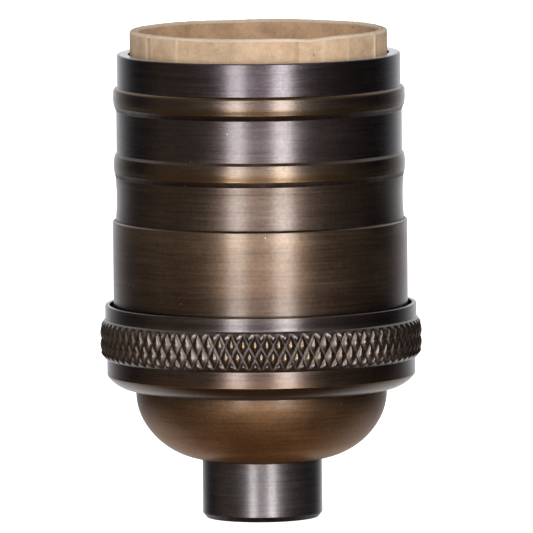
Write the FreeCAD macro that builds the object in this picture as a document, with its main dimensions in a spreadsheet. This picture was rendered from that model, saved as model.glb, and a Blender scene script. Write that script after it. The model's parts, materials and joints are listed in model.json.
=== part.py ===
import FreeCAD, Part
import math
import os
import re
import Sketcher
from FreeCAD import Placement, Rotation, Vector

# Keyless lamp socket: a turned brass shell, a knurled ring and a bowl cap round a moulded interior.
# Millimetres, +Z up, origin at the centre of the open end of the neck that the socket stands on.
# The round sizes grow outwards from the lamp's screw thread, and the levels upwards from the neck.

sizes = {
    # lamp thread and the sheet brass screw shell that is rolled to it
    "lamp_major_radius": 13.3,
    "lamp_thread_depth": 0.85,
    "lamp_thread_pitch": 3.629,
    "screw_shell_sheet": 0.35,
    "screw_shell_drop": 2.3,
    "screw_shell_plain_foot": 2.2,
    "screw_shell_plain_lip": 2.4,
    "screw_shell_corner": 1.2,
    "thread_steps": 12,
    # board liner
    "liner_room": 0.55,
    "liner_wall": 1.05,
    "liner_proud": 2.8,
    "liner_edge": 0.4,
    # outer shell, from its bore outwards and from its foot upwards
    "shell_gap": 0.25,
    "shell_wall": 1.3,
    "plain_rise": 0.14,
    "waist_rise": 0.28,
    "waist_hollow": 0.11,
    "base_rise": 0.67,
    "bead_rise": 0.34,
    "bead_foot": 0.74,
    "low_bead_crown": 0.07,
    "low_bead_fall": 0.1,
    "low_bead_shoulder": 0.35,
    "high_bead_round": 0.62,
    "high_bead_fall": 0.22,
    "high_bead_shoulder": 0.08,
    "base_height": 14.0,
    "waist_height": 5.3,
    "low_bead_height": 2.88,
    "plain_height": 4.95,
    "high_bead_height": 2.81,
    "top_height": 3.94,
    "shell_edge": 0.3,
    "step_edge": 0.16,
    "shell_shoulder": 0.7,
    "foot_gap": 0.3,
    # knurled ring, walls measured from the threaded foot of the shell
    "thread_clearance": 0.08,
    "rim_gap": 0.48,
    "rim_gap_depth": 1.6,
    "rim_rise": 1.01,
    "rim_height": 2.0,
    "rim_edge": 0.2,
    "collar_rise": 0.83,
    "collar_height": 1.95,
    "knurl_rise": 1.62,
    "knurl_depth": 0.56,
    "knurl_height": 4.4,
    "knurl_count": 84,
    "knurl_row": 1.4,
    "knurl_edge": 0.6,
    "knurl_low_bevel": 0.75,
    "knurl_high_bevel": 0.4,
    "underside_curve": 4.1,
    "underside_rise": 2.0,
    "lip_lift": 0.15,
    "lip_height": 2.45,
    "ring_clearance": 0.1,
    "flange_clearance": 0.15,
    # cap: bowl, flange and neck in one turned piece
    "bowl_level": 15.0,
    "bowl_depth": 8.0,
    "bowl_side_share": 0.875,
    "bowl_under_share": 1.125,
    "bowl_wall": 1.4,
    "bowl_floor": 1.6,
    "bowl_inner_curve": 7.0,
    "flange_inset": 0.72,
    "flange_overhang": 1.85,
    "flange_height": 2.0,
    "neck_radius": 7.1,
    "neck_edge_in": 0.5,
    "neck_edge_up": 0.6,
    "pipe_bore_radius": 4.45,
    "pipe_bore_edge": 0.4,
    # set screw in the back of the neck
    "set_screw_radius": 1.65,
    "set_screw_level": 3.3,
    "set_screw_shy": 0.1,
    "set_screw_slot": 0.5,
    "set_screw_slot_depth": 0.8,
    "set_screw_point": 0.5,
    # insulating dish in the cap
    "dish_gap": 0.2,
    "dish_wall": 0.6,
    "dish_drop": 2.2,
    "dish_hole_radius": 5.0,
    # moulded interior body
    "seat_clearance": 0.15,
    "base_thickness": 1.8,
    "block_room": 1.0,
    "pocket_depth": 4.6,
    "pocket_side_gap": 0.8,
    "pocket_lift": 0.6,
    "pocket_room": 0.8,
    "pocket_roof": 1.6,
    "wire_slot_length": 4.8,
    "wire_slot_width": 2.8,
    "wire_slot_rim": 0.3,
    "fit_gap": 0.1,
    "cut_past": 1.0,
    # terminal straps and screws
    "strap_thickness": 0.8,
    "strap_half_width": 3.8,
    "strap_bend": 0.4,
    "strap_bottom_lift": 0.6,
    "strap_top_drop": 0.9,
    "terminal_rise": 0.1,
    "terminal_head_radius": 3.3,
    "terminal_head_height": 1.8,
    "terminal_head_edge": 1.0,
    "terminal_shank_radius": 1.65,
    "terminal_shank_length": 3.0,
    "terminal_shank_bevel": 0.2,
    "shank_gap": 0.2,
    "shank_end_gap": 0.3,
    "terminal_slot": 0.8,
    "terminal_slot_depth": 0.8,
    # rivets and centre contact
    "rivet_circle": 7.0,
    "rivet_half_angle": 60.0,
    "rivet_shank_radius": 1.1,
    "rivet_head_radius": 2.1,
    "rivet_head_height": 0.65,
    "rivet_head_gap": 0.2,
    "rivet_tail_radius": 1.8,
    "shell_rivet_tail": 0.6,
    "contact_rivet_tail": 0.5,
    "rivet_well_radius": 2.5,
    "contact_circle": 6.5,
    "contact_angle": -45.0,
    "contact_boss_radius": 2.2,
    "leaf_thickness": 0.35,
    "leaf_half_width": 2.3,
    "leaf_pad": 2.2,
    "leaf_rise": 2.6,
    "leaf_crest": 0.7,
    "leaf_crest_curve": 1.9,
    "leaf_crest_fall": 0.1,
    "leaf_tip": 2.8,
    "leaf_tip_drop": 1.1,
    "insulator_thickness": 0.8,
}

doc = FreeCAD.newDocument("keyless_lamp_socket")
sheet = doc.addObject("Spreadsheet::Sheet", "Sizes")
for row, (alias, number) in enumerate(sizes.items(), start=1):
    sheet.set(f"A{row}", alias)
    sheet.set(f"B{row}", str(number))
    sheet.setAlias(f"B{row}", alias)
doc.recompute()

# Sizes that follow from the ones above, as formulas that every sketch and feature can use.
follows = {
    "liner_bore": "lamp_major_radius + screw_shell_sheet + liner_room",
    "liner_radius": "liner_bore + liner_wall",
    "shell_bore": "liner_radius + shell_gap",
    "top_radius": "shell_bore + shell_wall",
    "plain_radius": "top_radius + plain_rise",
    "waist_radius": "top_radius + waist_rise",
    "base_radius": "top_radius + base_rise",
    "bead_radius": "plain_radius + bead_rise",
    "seat_bore": "shell_bore + shell_shoulder",
    "thread_bore": "base_radius + thread_clearance",
    "rim_bore": "base_radius + rim_gap",
    "rim_radius": "base_radius + rim_rise",
    "collar_radius": "base_radius + collar_rise",
    "tip_radius": "base_radius + knurl_rise",
    "root_radius": "tip_radius - knurl_depth",
    "flange_radius": "base_radius - flange_inset",
    "flange_bore": "flange_radius + flange_clearance",
    "bowl_radius": "flange_radius - flange_overhang",
    "bowl_side_curve": "bowl_depth * bowl_side_share",
    "bowl_under_curve": "bowl_depth * bowl_under_share",
    "lip_bore": "bowl_radius + ring_clearance",
    "cavity_radius": "bowl_radius - bowl_wall",
    "cavity_floor": "bowl_level - bowl_depth + bowl_floor",
    "lip_level": "bowl_level + lip_lift",
    "lip_top": "lip_level + lip_height",
    "seat_level": "lip_top + flange_height",
    "corner_level": "lip_level + underside_rise",
    "knurl_level": "corner_level + collar_height",
    "knurl_top": "knurl_level + knurl_height",
    "ring_top": "knurl_top + rim_height",
    "foot_level": "seat_level + foot_gap",
    "base_top": "seat_level + base_thickness",
    "step_level": "base_top + base_height",
    "low_bead_level": "step_level + waist_height",
    "plain_level": "low_bead_level + low_bead_height",
    "high_bead_level": "plain_level + plain_height",
    "top_level": "high_bead_level + high_bead_height",
    "shell_top": "top_level + top_height",
    "liner_top": "shell_top + liner_proud",
    "base_flange_radius": "seat_bore - seat_clearance",
    "block_radius": "liner_bore - block_room",
    "pocket_height": "2 * terminal_head_radius + pocket_room",
    "pocket_half_width": "strap_half_width + pocket_side_gap",
    "block_height": "pocket_lift + pocket_height + pocket_roof",
    "block_top": "base_top + block_height",
    "screw_shell_floor": "block_top + screw_shell_sheet",
    "screw_shell_rim": "screw_shell_floor + screw_shell_plain_foot",
    "screw_shell_top": "shell_top - screw_shell_drop",
    "screw_shell_lip": "screw_shell_top - screw_shell_plain_lip",
    "lamp_minor_radius": "lamp_major_radius - lamp_thread_depth",
    "insulator_top": "screw_shell_floor + insulator_thickness",
    "leaf_top": "insulator_top + leaf_thickness",
    "strap_face": "block_radius - pocket_depth",
    "strap_outside": "strap_face + strap_thickness",
    "strap_bottom": "seat_level + strap_bottom_lift",
    "pocket_floor": "base_top + pocket_lift",
    "terminal_axis": "pocket_floor + pocket_height / 2 + terminal_rise",
    "leg_foot": "pocket_floor + fit_gap",
    "strap_bottom_face": "strap_bottom + strap_thickness",
    "strap_top_face": "block_top - strap_thickness",
    "contact_across": "contact_circle * cos(contact_angle)",
    "contact_along": "contact_circle * sin(contact_angle)",
    "rivet_across": "rivet_circle * cos(rivet_half_angle)",
    "rivet_along": "rivet_circle * sin(rivet_half_angle)",
    "rivet_land": "rivet_head_radius - fit_gap",
}


def spelled(text):
    """Write a formula out until it holds only cells of the sheet."""
    def expand(found):
        word = found.group(0)
        if word in follows:
            return "(" + spelled(follows[word]) + ")"
        if word in sizes:
            return "Sizes." + word
        return word
    return re.sub(r"[a-z_]+(?![a-z_]*\()", expand, text)


def value(text):
    return float(sheet.evalExpression(spelled(text)))


def bind(feature, setting, text):
    feature.setExpression(setting, spelled(text))


def new_body(label):
    body = doc.addObject("PartDesign::Body", label)
    body.Label = label
    return body


def new_sketch(body, plane, offset="0", turn=0.0):
    """A sketch on one of the body's own planes, moved along the plane's normal by a formula."""
    sketch = body.newObject("Sketcher::SketchObject", body.Name + "_sketch")
    for feature in body.Origin.OriginFeatures:
        if feature.Role == plane:
            sketch.AttachmentSupport = [(feature, "")]
    sketch.MapMode = "FlatFace"
    sketch.AttachmentOffset = Placement(Vector(0, 0, value(offset)), Rotation(Vector(0, 0, 1), turn))
    bind(sketch, "AttachmentOffset.Base.z", offset)
    return sketch


def place_point(sketch, edge, end, across, up):
    """Pin one sketch point to two formulas, or to an axis where a formula is zero."""
    for formula, kind, axis in ((across, "DistanceX", -2), (up, "DistanceY", -1)):
        if abs(value(formula)) < 1e-9:
            sketch.addConstraint(Sketcher.Constraint("PointOnObject", edge, end, axis))
        else:
            constraint = Sketcher.Constraint(kind, -1, 1, edge, end, value(formula))
            number = sketch.addConstraint(constraint)
            bind(sketch, f"Constraints[{number}]", formula)


def draw_outline(sketch, corners):
    """A closed outline. A corner is (across, up), or (across, up, radius) where an arc of that radius
    leaves it for the next corner: a positive radius turns the arc's centre to the left of the way."""
    points = [Vector(value(corner[0]), value(corner[1]), 0) for corner in corners]
    ends = []
    for number, corner in enumerate(corners):
        start = points[number]
        finish = points[(number + 1) % len(points)]
        if len(corner) == 2:
            edge = sketch.addGeometry(Part.LineSegment(start, finish), False)
            ends.append((edge, 1, 2))
            continue
        radius = value(corner[2])
        chord = finish - start
        middle = (start + finish) * 0.5
        left = Vector(-chord.y, chord.x, 0).normalize()
        reach = math.sqrt(radius ** 2 - (chord.Length / 2) ** 2)
        centre = middle + left * math.copysign(reach, radius)
        from_angle = math.atan2(start.y - centre.y, start.x - centre.x)
        to_angle = math.atan2(finish.y - centre.y, finish.x - centre.x)
        circle = Part.Circle(centre, Vector(0, 0, 1), abs(radius))
        if radius > 0:
            edge = sketch.addGeometry(Part.ArcOfCircle(circle, from_angle, to_angle), False)
            ends.append((edge, 1, 2))
        else:
            edge = sketch.addGeometry(Part.ArcOfCircle(circle, to_angle, from_angle), False)
            ends.append((edge, 2, 1))
        size = sketch.addConstraint(Sketcher.Constraint("Radius", edge, abs(radius)))
        bind(sketch, f"Constraints[{size}]", "abs(" + corner[2] + ")")
    for number, (edge, start, finish) in enumerate(ends):
        next_edge, next_start, next_finish = ends[(number + 1) % len(ends)]
        sketch.addConstraint(Sketcher.Constraint("Coincident", edge, finish, next_edge, next_start))
        place_point(sketch, edge, start, corners[number][0], corners[number][1])


def draw_rectangle(sketch, left, right, low, high):
    draw_outline(sketch, [(left, low), (right, low), (right, high), (left, high)])


def draw_circle(sketch, across, up, radius):
    centre = Vector(value(across), value(up), 0)
    edge = sketch.addGeometry(Part.Circle(centre, Vector(0, 0, 1), value(radius)), False)
    place_point(sketch, edge, 3, across, up)
    size = sketch.addConstraint(Sketcher.Constraint("Radius", edge, value(radius)))
    bind(sketch, f"Constraints[{size}]", radius)


def turned(body, corners):
    """Turn an outline of (radius, level) corners once round the Z axis."""
    sketch = new_sketch(body, "XZ_Plane")
    draw_outline(sketch, corners)
    revolution = body.newObject("PartDesign::Revolution", body.Name + "_turned")
    revolution.Profile = sketch
    revolution.ReferenceAxis = (sketch, ["V_Axis"])
    revolution.Angle = 360
    doc.recompute()
    return revolution


def extruded(body, kind, sketch, length, reverse=False, both_ways=False):
    feature = body.newObject("PartDesign::" + kind, body.Name + "_" + kind.lower())
    feature.Profile = sketch
    if both_ways:
        feature.SideType = "Symmetric"
    feature.Reversed = reverse
    bind(feature, "Length", length)
    doc.recompute()
    return feature


def pad(body, sketch, length, reverse=False, both_ways=False):
    return extruded(body, "Pad", sketch, length, reverse, both_ways)


def cut(body, sketch, length, reverse=False, both_ways=False):
    """A pocket that must take something away."""
    before = body.Shape.Volume
    feature = extruded(body, "Pocket", sketch, length, reverse, both_ways)
    if body.Shape.Volume > before - 1e-3:
        raise RuntimeError(f"{feature.Label} cuts nothing")
    return feature


# Cap: the outside of the bowl is two tangent arcs, one down the side and one in under to the neck.
bowl_curve_gap = "(bowl_under_curve - bowl_side_curve)"
bowl_under_reach = f"sqrt({bowl_curve_gap} ^ 2 - (bowl_under_curve - bowl_depth) ^ 2)"
bowl_under_centre = f"(bowl_radius - bowl_side_curve - {bowl_under_reach})"
bowl_join_share = f"(bowl_side_curve / {bowl_curve_gap})"
bowl_join_radius = f"bowl_radius - bowl_side_curve + {bowl_under_reach} * {bowl_join_share}"
bowl_join_level = f"bowl_level - (bowl_under_curve - bowl_depth) * {bowl_join_share}"
neck_top = (
    "bowl_level - bowl_depth + bowl_under_curve"
    f" - sqrt(bowl_under_curve ^ 2 - (neck_radius - {bowl_under_centre}) ^ 2)"
)


def make_cap():
    body = new_body("cap")
    turned(body, [
        ("pipe_bore_radius + pipe_bore_edge", "0"),
        ("neck_radius - neck_edge_in", "0"),
        ("neck_radius", "neck_edge_up"),
        ("neck_radius", neck_top, "bowl_under_curve"),
        (bowl_join_radius, bowl_join_level, "bowl_side_curve"),
        ("bowl_radius", "bowl_level"),
        ("bowl_radius", "lip_top"),
        ("flange_radius", "lip_top"),
        ("flange_radius", "seat_level"),
        ("cavity_radius", "seat_level"),
        ("cavity_radius", "cavity_floor + bowl_inner_curve", "-bowl_inner_curve"),
        ("cavity_radius - bowl_inner_curve", "cavity_floor"),
        ("pipe_bore_radius", "cavity_floor"),
        ("pipe_bore_radius", "pipe_bore_edge"),
    ])
    hole = new_sketch(body, "XZ_Plane")
    draw_circle(hole, "0", "set_screw_level", "set_screw_radius + fit_gap")
    cut(body, hole, "neck_radius + cut_past")
    return body


def make_set_screw():
    """A headless slotted screw along +Y, turned about its own axis and laid in the neck."""
    body = new_body("set_screw")
    tip = "pipe_bore_radius + fit_gap"
    end = "neck_radius - set_screw_shy"
    sketch = new_sketch(body, "YZ_Plane")
    draw_outline(sketch, [
        (tip, "set_screw_level"),
        (end, "set_screw_level"),
        (end, "set_screw_level + set_screw_radius"),
        (f"{tip} + set_screw_point", "set_screw_level + set_screw_radius"),
        (tip, "set_screw_level + set_screw_radius - set_screw_point"),
    ])
    revolution = body.newObject("PartDesign::Revolution", "set_screw_turned")
    revolution.Profile = sketch
    revolution.ReferenceAxis = (sketch, ["Edge1"])
    revolution.Angle = 360
    doc.recompute()
    slot = new_sketch(body, "YZ_Plane")
    draw_rectangle(
        slot, f"{end} - set_screw_slot_depth", f"{end} + cut_past",
        "set_screw_level - set_screw_slot / 2", "set_screw_level + set_screw_slot / 2",
    )
    cut(body, slot, "2 * (set_screw_radius + cut_past)", both_ways=True)
    return body


def make_cap_dish():
    body = new_body("cap_liner")
    outside = "cavity_radius - dish_gap"
    curve = "(bowl_inner_curve - dish_gap)"
    turned(body, [
        ("dish_hole_radius", "cavity_floor"),
        (f"{outside} - {curve}", "cavity_floor", curve),
        (outside, f"cavity_floor + {curve}"),
        (outside, "seat_level - dish_drop"),
        (f"{outside} - dish_wall", "seat_level - dish_drop"),
        (f"{outside} - dish_wall", f"cavity_floor + {curve}", f"-({curve} - dish_wall)"),
        (f"{outside} - {curve}", "cavity_floor + dish_wall"),
        ("dish_hole_radius", "cavity_floor + dish_wall"),
    ])
    return body


def knurl_point(radius, half_steps, rows):
    """A point of the knurl, counted in half pitches round and rows up from the middle of the band."""
    angle = math.pi * half_steps / sheet.knurl_count
    level = value("knurl_level + knurl_height / 2") + rows * sheet.knurl_row
    return Vector(radius * math.cos(angle), radius * math.sin(angle), level)


def make_knurl_blank():
    """A disc whose rim is rows of four-sided diamonds, each row half a pitch round from the last."""
    tip = value("tip_radius")
    root = value("root_radius")
    reach = int(math.ceil(sheet.knurl_height / 2 / sheet.knurl_row)) + 1
    facets = []
    for rows in range(-reach, reach + 1):
        for number in range(int(sheet.knurl_count)):
            step = 2 * number + (rows + reach) % 2
            point = knurl_point(tip, step, rows)
            left = knurl_point(root, step - 1, rows)
            right = knurl_point(root, step + 1, rows)
            if rows < reach:
                above = knurl_point(root, step, rows + 1)
                facets.append((point, right, above))
                facets.append((point, above, left))
            if rows > -reach:
                below = knurl_point(root, step, rows - 1)
                facets.append((point, left, below))
                facets.append((point, below, right))
    faces = [Part.Face(Part.makePolygon([*facet, facet[0]])) for facet in facets]
    for rows in (-reach, reach):
        rim = []
        for number in range(int(sheet.knurl_count)):
            step = 2 * number + (rows + reach) % 2
            rim.append(knurl_point(root, step - 1, rows))
            rim.append(knurl_point(tip, step, rows))
        faces.append(Part.Face(Part.makePolygon([*rim, rim[0]])))
    return Part.Solid(Part.makeShell(faces))


def make_ring():
    """The ring is turned, then its band is crossed with knurling and bevelled at both ends."""
    body = new_body("ring_turning")
    turned(body, [
        ("lip_bore", "lip_level", "underside_curve"),
        ("collar_radius", "corner_level"),
        ("collar_radius", "knurl_level"),
        ("root_radius - knurl_depth", "knurl_level"),
        ("root_radius - knurl_depth", "knurl_top"),
        ("rim_radius", "knurl_top"),
        ("rim_radius", "ring_top - rim_edge", "rim_edge"),
        ("rim_radius - rim_edge", "ring_top"),
        ("rim_bore", "ring_top"),
        ("rim_bore", "ring_top - rim_gap_depth"),
        ("thread_bore", "ring_top - rim_gap_depth"),
        ("thread_bore", "seat_level + fit_gap"),
        ("flange_bore", "seat_level + fit_gap"),
        ("flange_bore", "lip_top"),
        ("lip_bore", "lip_top"),
    ])
    band = new_body("ring_band")
    turned(band, [
        ("thread_bore", "knurl_level"),
        ("tip_radius - knurl_edge", "knurl_level"),
        ("tip_radius", "knurl_level + knurl_low_bevel"),
        ("tip_radius", "knurl_top - knurl_high_bevel"),
        ("tip_radius - knurl_edge", "knurl_top"),
        ("thread_bore", "knurl_top"),
    ])
    diamonds = doc.addObject("Part::Feature", "ring_diamonds")
    diamonds.Shape = make_knurl_blank()
    knurl = doc.addObject("Part::Common", "ring_knurl")
    knurl.Base = band
    knurl.Tool = diamonds
    ring = doc.addObject("Part::Fuse", "knurled_ring")
    ring.Base = body
    ring.Tool = knurl
    ring.Label = "knurled_ring"
    doc.recompute()
    return ring


def arc_over(length, rise):
    """The radius of an arc that spans a length and stands a rise above it."""
    return f"((({length}) / 2) ^ 2 + ({rise}) ^ 2) / (2 * ({rise}))"


def make_outer_shell():
    """One turned tube. Each bead has a bevelled foot: the low one is crowned, the high one is flat
    and rounded over towards the rim."""
    body = new_body("outer_shell")
    low_bead_curve = arc_over("low_bead_height - bead_foot - low_bead_shoulder", "low_bead_crown")
    high_bead_curve = "(high_bead_fall ^ 2 + high_bead_round ^ 2) / (2 * high_bead_fall)"
    turned(body, [
        ("seat_bore", "foot_level"),
        ("base_radius - shell_edge", "foot_level"),
        ("base_radius", "foot_level + shell_edge"),
        ("base_radius", "step_level - step_edge", "step_edge"),
        ("base_radius - step_edge", "step_level"),
        ("waist_radius", "step_level", "-" + arc_over("waist_height", "waist_hollow")),
        ("waist_radius", "low_bead_level"),
        ("bead_radius", "low_bead_level + bead_foot", low_bead_curve),
        ("bead_radius - low_bead_fall", "plain_level - low_bead_shoulder"),
        ("plain_radius", "plain_level"),
        ("plain_radius", "high_bead_level"),
        ("bead_radius", "high_bead_level + bead_foot"),
        ("bead_radius", "top_level - high_bead_round - high_bead_shoulder", high_bead_curve),
        ("bead_radius - high_bead_fall", "top_level - high_bead_shoulder"),
        ("top_radius", "top_level"),
        ("top_radius", "shell_top - shell_edge", "shell_edge"),
        ("top_radius - shell_edge", "shell_top"),
        ("shell_bore", "shell_top"),
        ("shell_bore", "base_top"),
        ("seat_bore", "base_top"),
    ])
    return body


def make_liner():
    body = new_body("cardboard_liner")
    turned(body, [
        ("liner_bore", "base_top"),
        ("liner_radius", "base_top"),
        ("liner_radius", "liner_top - liner_edge", "liner_edge"),
        ("liner_radius - liner_edge", "liner_top"),
        ("liner_bore + liner_edge", "liner_top", "liner_edge"),
        ("liner_bore", "liner_top - liner_edge"),
    ])
    return body


def make_interior():
    """A moulded block with a terminal pocket on each side, on a base plate. Both are cut as one and
    then parted at the top of the plate."""
    body = new_body("interior_blank")
    turned(body, [
        ("0", "seat_level"),
        ("base_flange_radius", "seat_level"),
        ("base_flange_radius", "base_top"),
        ("block_radius", "base_top"),
        ("block_radius", "block_top"),
        ("0", "block_top"),
    ])
    for side in (-1, 1):
        pocket = new_sketch(body, "XY_Plane", "pocket_floor")
        draw_rectangle(
            pocket, f"{side} * strap_face", f"{side} * (block_radius + cut_past)",
            "-pocket_half_width", "pocket_half_width",
        )
        cut(body, pocket, "pocket_height", reverse=True)
        slot = new_sketch(body, "XY_Plane", "seat_level")
        slot_outside = "(block_radius - wire_slot_rim)"
        draw_rectangle(
            slot, f"{side} * ({slot_outside} - wire_slot_width)", f"{side} * {slot_outside}",
            "-wire_slot_length / 2", "wire_slot_length / 2",
        )
        cut(body, slot, "base_thickness + pocket_lift", reverse=True)
        blind_end = "(strap_outside - terminal_shank_length - shank_end_gap)"
        bore = new_sketch(body, "YZ_Plane", f"{side} * {blind_end}")
        draw_circle(bore, "0", "terminal_axis", "terminal_shank_radius + shank_gap")
        cut(body, bore, f"block_radius - {blind_end}", reverse=side > 0)
    cut_hot_channel(body)
    cut_neutral_channel(body)
    cut_rivet_holes(body)
    add_contact_boss(body)
    return part_at_base_top(body)


def part_at_base_top(body):
    slab = doc.addObject("Part::Cylinder", "base_slab")
    bind(slab, "Radius", "base_flange_radius + cut_past")
    bind(slab, "Height", "base_thickness + cut_past")
    bind(slab, "Placement.Base.z", "seat_level - cut_past")
    base = doc.addObject("Part::Common", "interior_base")
    block = doc.addObject("Part::Cut", "interior_body")
    for half in (base, block):
        half.Base = body
        half.Tool = slab
        half.Label = half.Name
    doc.recompute()
    return [base, block]


def cut_hot_channel(body):
    """The hot strap runs down out of its pocket and under the body to the contact's rivet."""
    slot = new_sketch(body, "XY_Plane", "seat_level")
    draw_rectangle(
        slot, "strap_face", "strap_outside + fit_gap",
        "-strap_half_width - fit_gap", "strap_half_width + fit_gap",
    )
    cut(body, slot, "base_thickness + pocket_lift", reverse=True)
    recess = new_sketch(body, "XY_Plane", "seat_level")
    draw_rectangle(
        recess, "contact_across - rivet_land - fit_gap", "strap_outside + fit_gap",
        "contact_along - rivet_land - fit_gap", "strap_half_width + fit_gap",
    )
    cut(body, recess, "strap_bottom_face - seat_level", reverse=True)
    relief = new_sketch(body, "XY_Plane", "seat_level")
    draw_rectangle(
        relief, "strap_face - strap_bend", "strap_outside + fit_gap",
        "-strap_half_width - fit_gap", "strap_half_width + fit_gap",
    )
    cut(body, relief, "strap_bottom_face + strap_bend - seat_level", reverse=True)


def cut_neutral_channel(body):
    """The neutral strap comes up out of its pocket and lies flush under the screw shell."""
    slot = new_sketch(body, "XY_Plane", "block_top")
    draw_rectangle(
        slot, "-strap_outside - fit_gap", "-strap_face",
        "-strap_half_width - fit_gap", "strap_half_width + fit_gap",
    )
    cut(body, slot, "block_top - pocket_floor - pocket_height")
    recess = new_sketch(body, "XY_Plane", "block_top")
    draw_rectangle(
        recess, "-strap_outside - fit_gap", "-rivet_across + rivet_land + fit_gap",
        "-rivet_along - rivet_land - fit_gap", "rivet_along + rivet_land + fit_gap",
    )
    cut(body, recess, "strap_thickness")
    relief = new_sketch(body, "XY_Plane", "block_top")
    draw_rectangle(
        relief, "-strap_outside - fit_gap", "-strap_face + strap_bend",
        "-strap_half_width - fit_gap", "strap_half_width + fit_gap",
    )
    cut(body, relief, "strap_thickness + strap_bend")


def cut_rivet_holes(body):
    """Two rivets hold the screw shell to the block, with their tails up in wells of the base plate."""
    for side in (-1, 1):
        for radius, depth in (
            ("rivet_shank_radius + fit_gap", "block_height + base_thickness"),
            ("rivet_well_radius", "base_thickness"),
        ):
            hole = new_sketch(body, "XY_Plane", "seat_level")
            draw_circle(hole, "-rivet_across", f"{side} * rivet_along", radius)
            cut(body, hole, depth, reverse=True)


def add_contact_boss(body):
    """A boss keeps the contact's rivet away from the edge of the screw shell's floor."""
    boss = new_sketch(body, "XY_Plane", "block_top")
    draw_circle(boss, "contact_across", "contact_along", "contact_boss_radius")
    pad(body, boss, "screw_shell_sheet")
    hole = new_sketch(body, "XY_Plane", "seat_level")
    draw_circle(hole, "contact_across", "contact_along", "rivet_shank_radius + fit_gap")
    cut(body, hole, "screw_shell_floor - seat_level", reverse=True)


def make_hot_strap():
    """An L of brass strip: a tapped leg in the pocket and a foot that reaches the contact's rivet."""
    body = new_body("hot_strap")
    outline = new_sketch(body, "XZ_Plane")
    top = "pocket_floor + pocket_height - strap_top_drop"
    draw_outline(outline, [
        ("strap_outside", top),
        ("strap_face", top),
        ("strap_face", "strap_bottom_face + strap_bend", "-strap_bend"),
        ("strap_face - strap_bend", "strap_bottom_face"),
        ("contact_across", "strap_bottom_face"),
        ("contact_across", "strap_bottom"),
        ("strap_outside - strap_bend - strap_thickness", "strap_bottom", "strap_bend + strap_thickness"),
        ("strap_outside", "strap_bottom + strap_bend + strap_thickness"),
    ])
    pad(body, outline, "2 * strap_half_width", both_ways=True)
    foot = new_sketch(body, "XY_Plane", "strap_bottom")
    draw_rectangle(
        foot, "contact_across - rivet_land", "strap_face - strap_bend",
        "contact_along - rivet_land", "0",
    )
    pad(body, foot, "strap_thickness")
    rivet_hole = new_sketch(body, "XY_Plane", "strap_bottom")
    draw_circle(rivet_hole, "contact_across", "contact_along", "rivet_shank_radius + fit_gap")
    cut(body, rivet_hole, "strap_thickness", reverse=True)
    tapped = new_sketch(body, "YZ_Plane")
    draw_circle(tapped, "0", "terminal_axis", "terminal_shank_radius + fit_gap")
    cut(body, tapped, "block_radius", reverse=True)
    return body


def make_neutral_strap():
    """An L of plated strip: a tapped leg in the pocket and a wide head riveted under the shell."""
    body = new_body("neutral_strap")
    outline = new_sketch(body, "XZ_Plane")
    draw_outline(outline, [
        ("-strap_outside", "leg_foot"),
        ("-strap_face", "leg_foot"),
        ("-strap_face", "strap_top_face - strap_bend", "-strap_bend"),
        ("-strap_face + strap_bend", "strap_top_face"),
        ("-rivet_across", "strap_top_face"),
        ("-rivet_across", "block_top"),
        ("-strap_outside + strap_bend + strap_thickness", "block_top", "strap_bend + strap_thickness"),
        ("-strap_outside", "block_top - strap_bend - strap_thickness"),
    ])
    pad(body, outline, "2 * strap_half_width", both_ways=True)
    head = new_sketch(body, "XY_Plane", "strap_top_face")
    draw_rectangle(
        head, "-strap_face + strap_bend", "-rivet_across + rivet_land",
        "-rivet_along - rivet_land", "rivet_along + rivet_land",
    )
    pad(body, head, "strap_thickness")
    for side in (-1, 1):
        rivet_hole = new_sketch(body, "XY_Plane", "strap_top_face")
        draw_circle(rivet_hole, "-rivet_across", f"{side} * rivet_along", "rivet_shank_radius + fit_gap")
        cut(body, rivet_hole, "strap_thickness", reverse=True)
    tapped = new_sketch(body, "YZ_Plane")
    draw_circle(tapped, "0", "terminal_axis", "terminal_shank_radius + fit_gap")
    cut(body, tapped, "block_radius")
    return body


def make_terminal_screw(label, side):
    """A slotted binding screw along X, its domed head against the strap."""
    body = new_body(label)
    face = "strap_outside"
    shoulder = f"({face} + terminal_head_edge)"
    crown = f"({face} + terminal_head_height)"
    tip = f"({face} - terminal_shank_length)"
    dome = arc_over("2 * terminal_head_radius", f"{crown} - {shoulder}")
    sketch = new_sketch(body, "XZ_Plane")
    draw_outline(sketch, [
        (f"{side} * {tip}", "terminal_axis"),
        (f"{side} * {crown}", "terminal_axis", f"{side} * {dome}"),
        (f"{side} * {shoulder}", "terminal_axis + terminal_head_radius"),
        (f"{side} * {face}", "terminal_axis + terminal_head_radius"),
        (f"{side} * {face}", "terminal_axis + terminal_shank_radius"),
        (f"{side} * ({tip} + terminal_shank_bevel)", "terminal_axis + terminal_shank_radius"),
        (f"{side} * {tip}", "terminal_axis + terminal_shank_radius - terminal_shank_bevel"),
    ])
    revolution = body.newObject("PartDesign::Revolution", label + "_turned")
    revolution.Profile = sketch
    revolution.ReferenceAxis = (sketch, ["Edge1"])
    revolution.Angle = 360
    doc.recompute()
    slot = new_sketch(body, "XZ_Plane")
    draw_rectangle(
        slot, f"{side} * ({crown} - terminal_slot_depth)", f"{side} * ({crown} + cut_past)",
        "terminal_axis - terminal_slot / 2", "terminal_axis + terminal_slot / 2",
    )
    cut(body, slot, "2 * (terminal_head_radius + cut_past)", both_ways=True)
    return body


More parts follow.
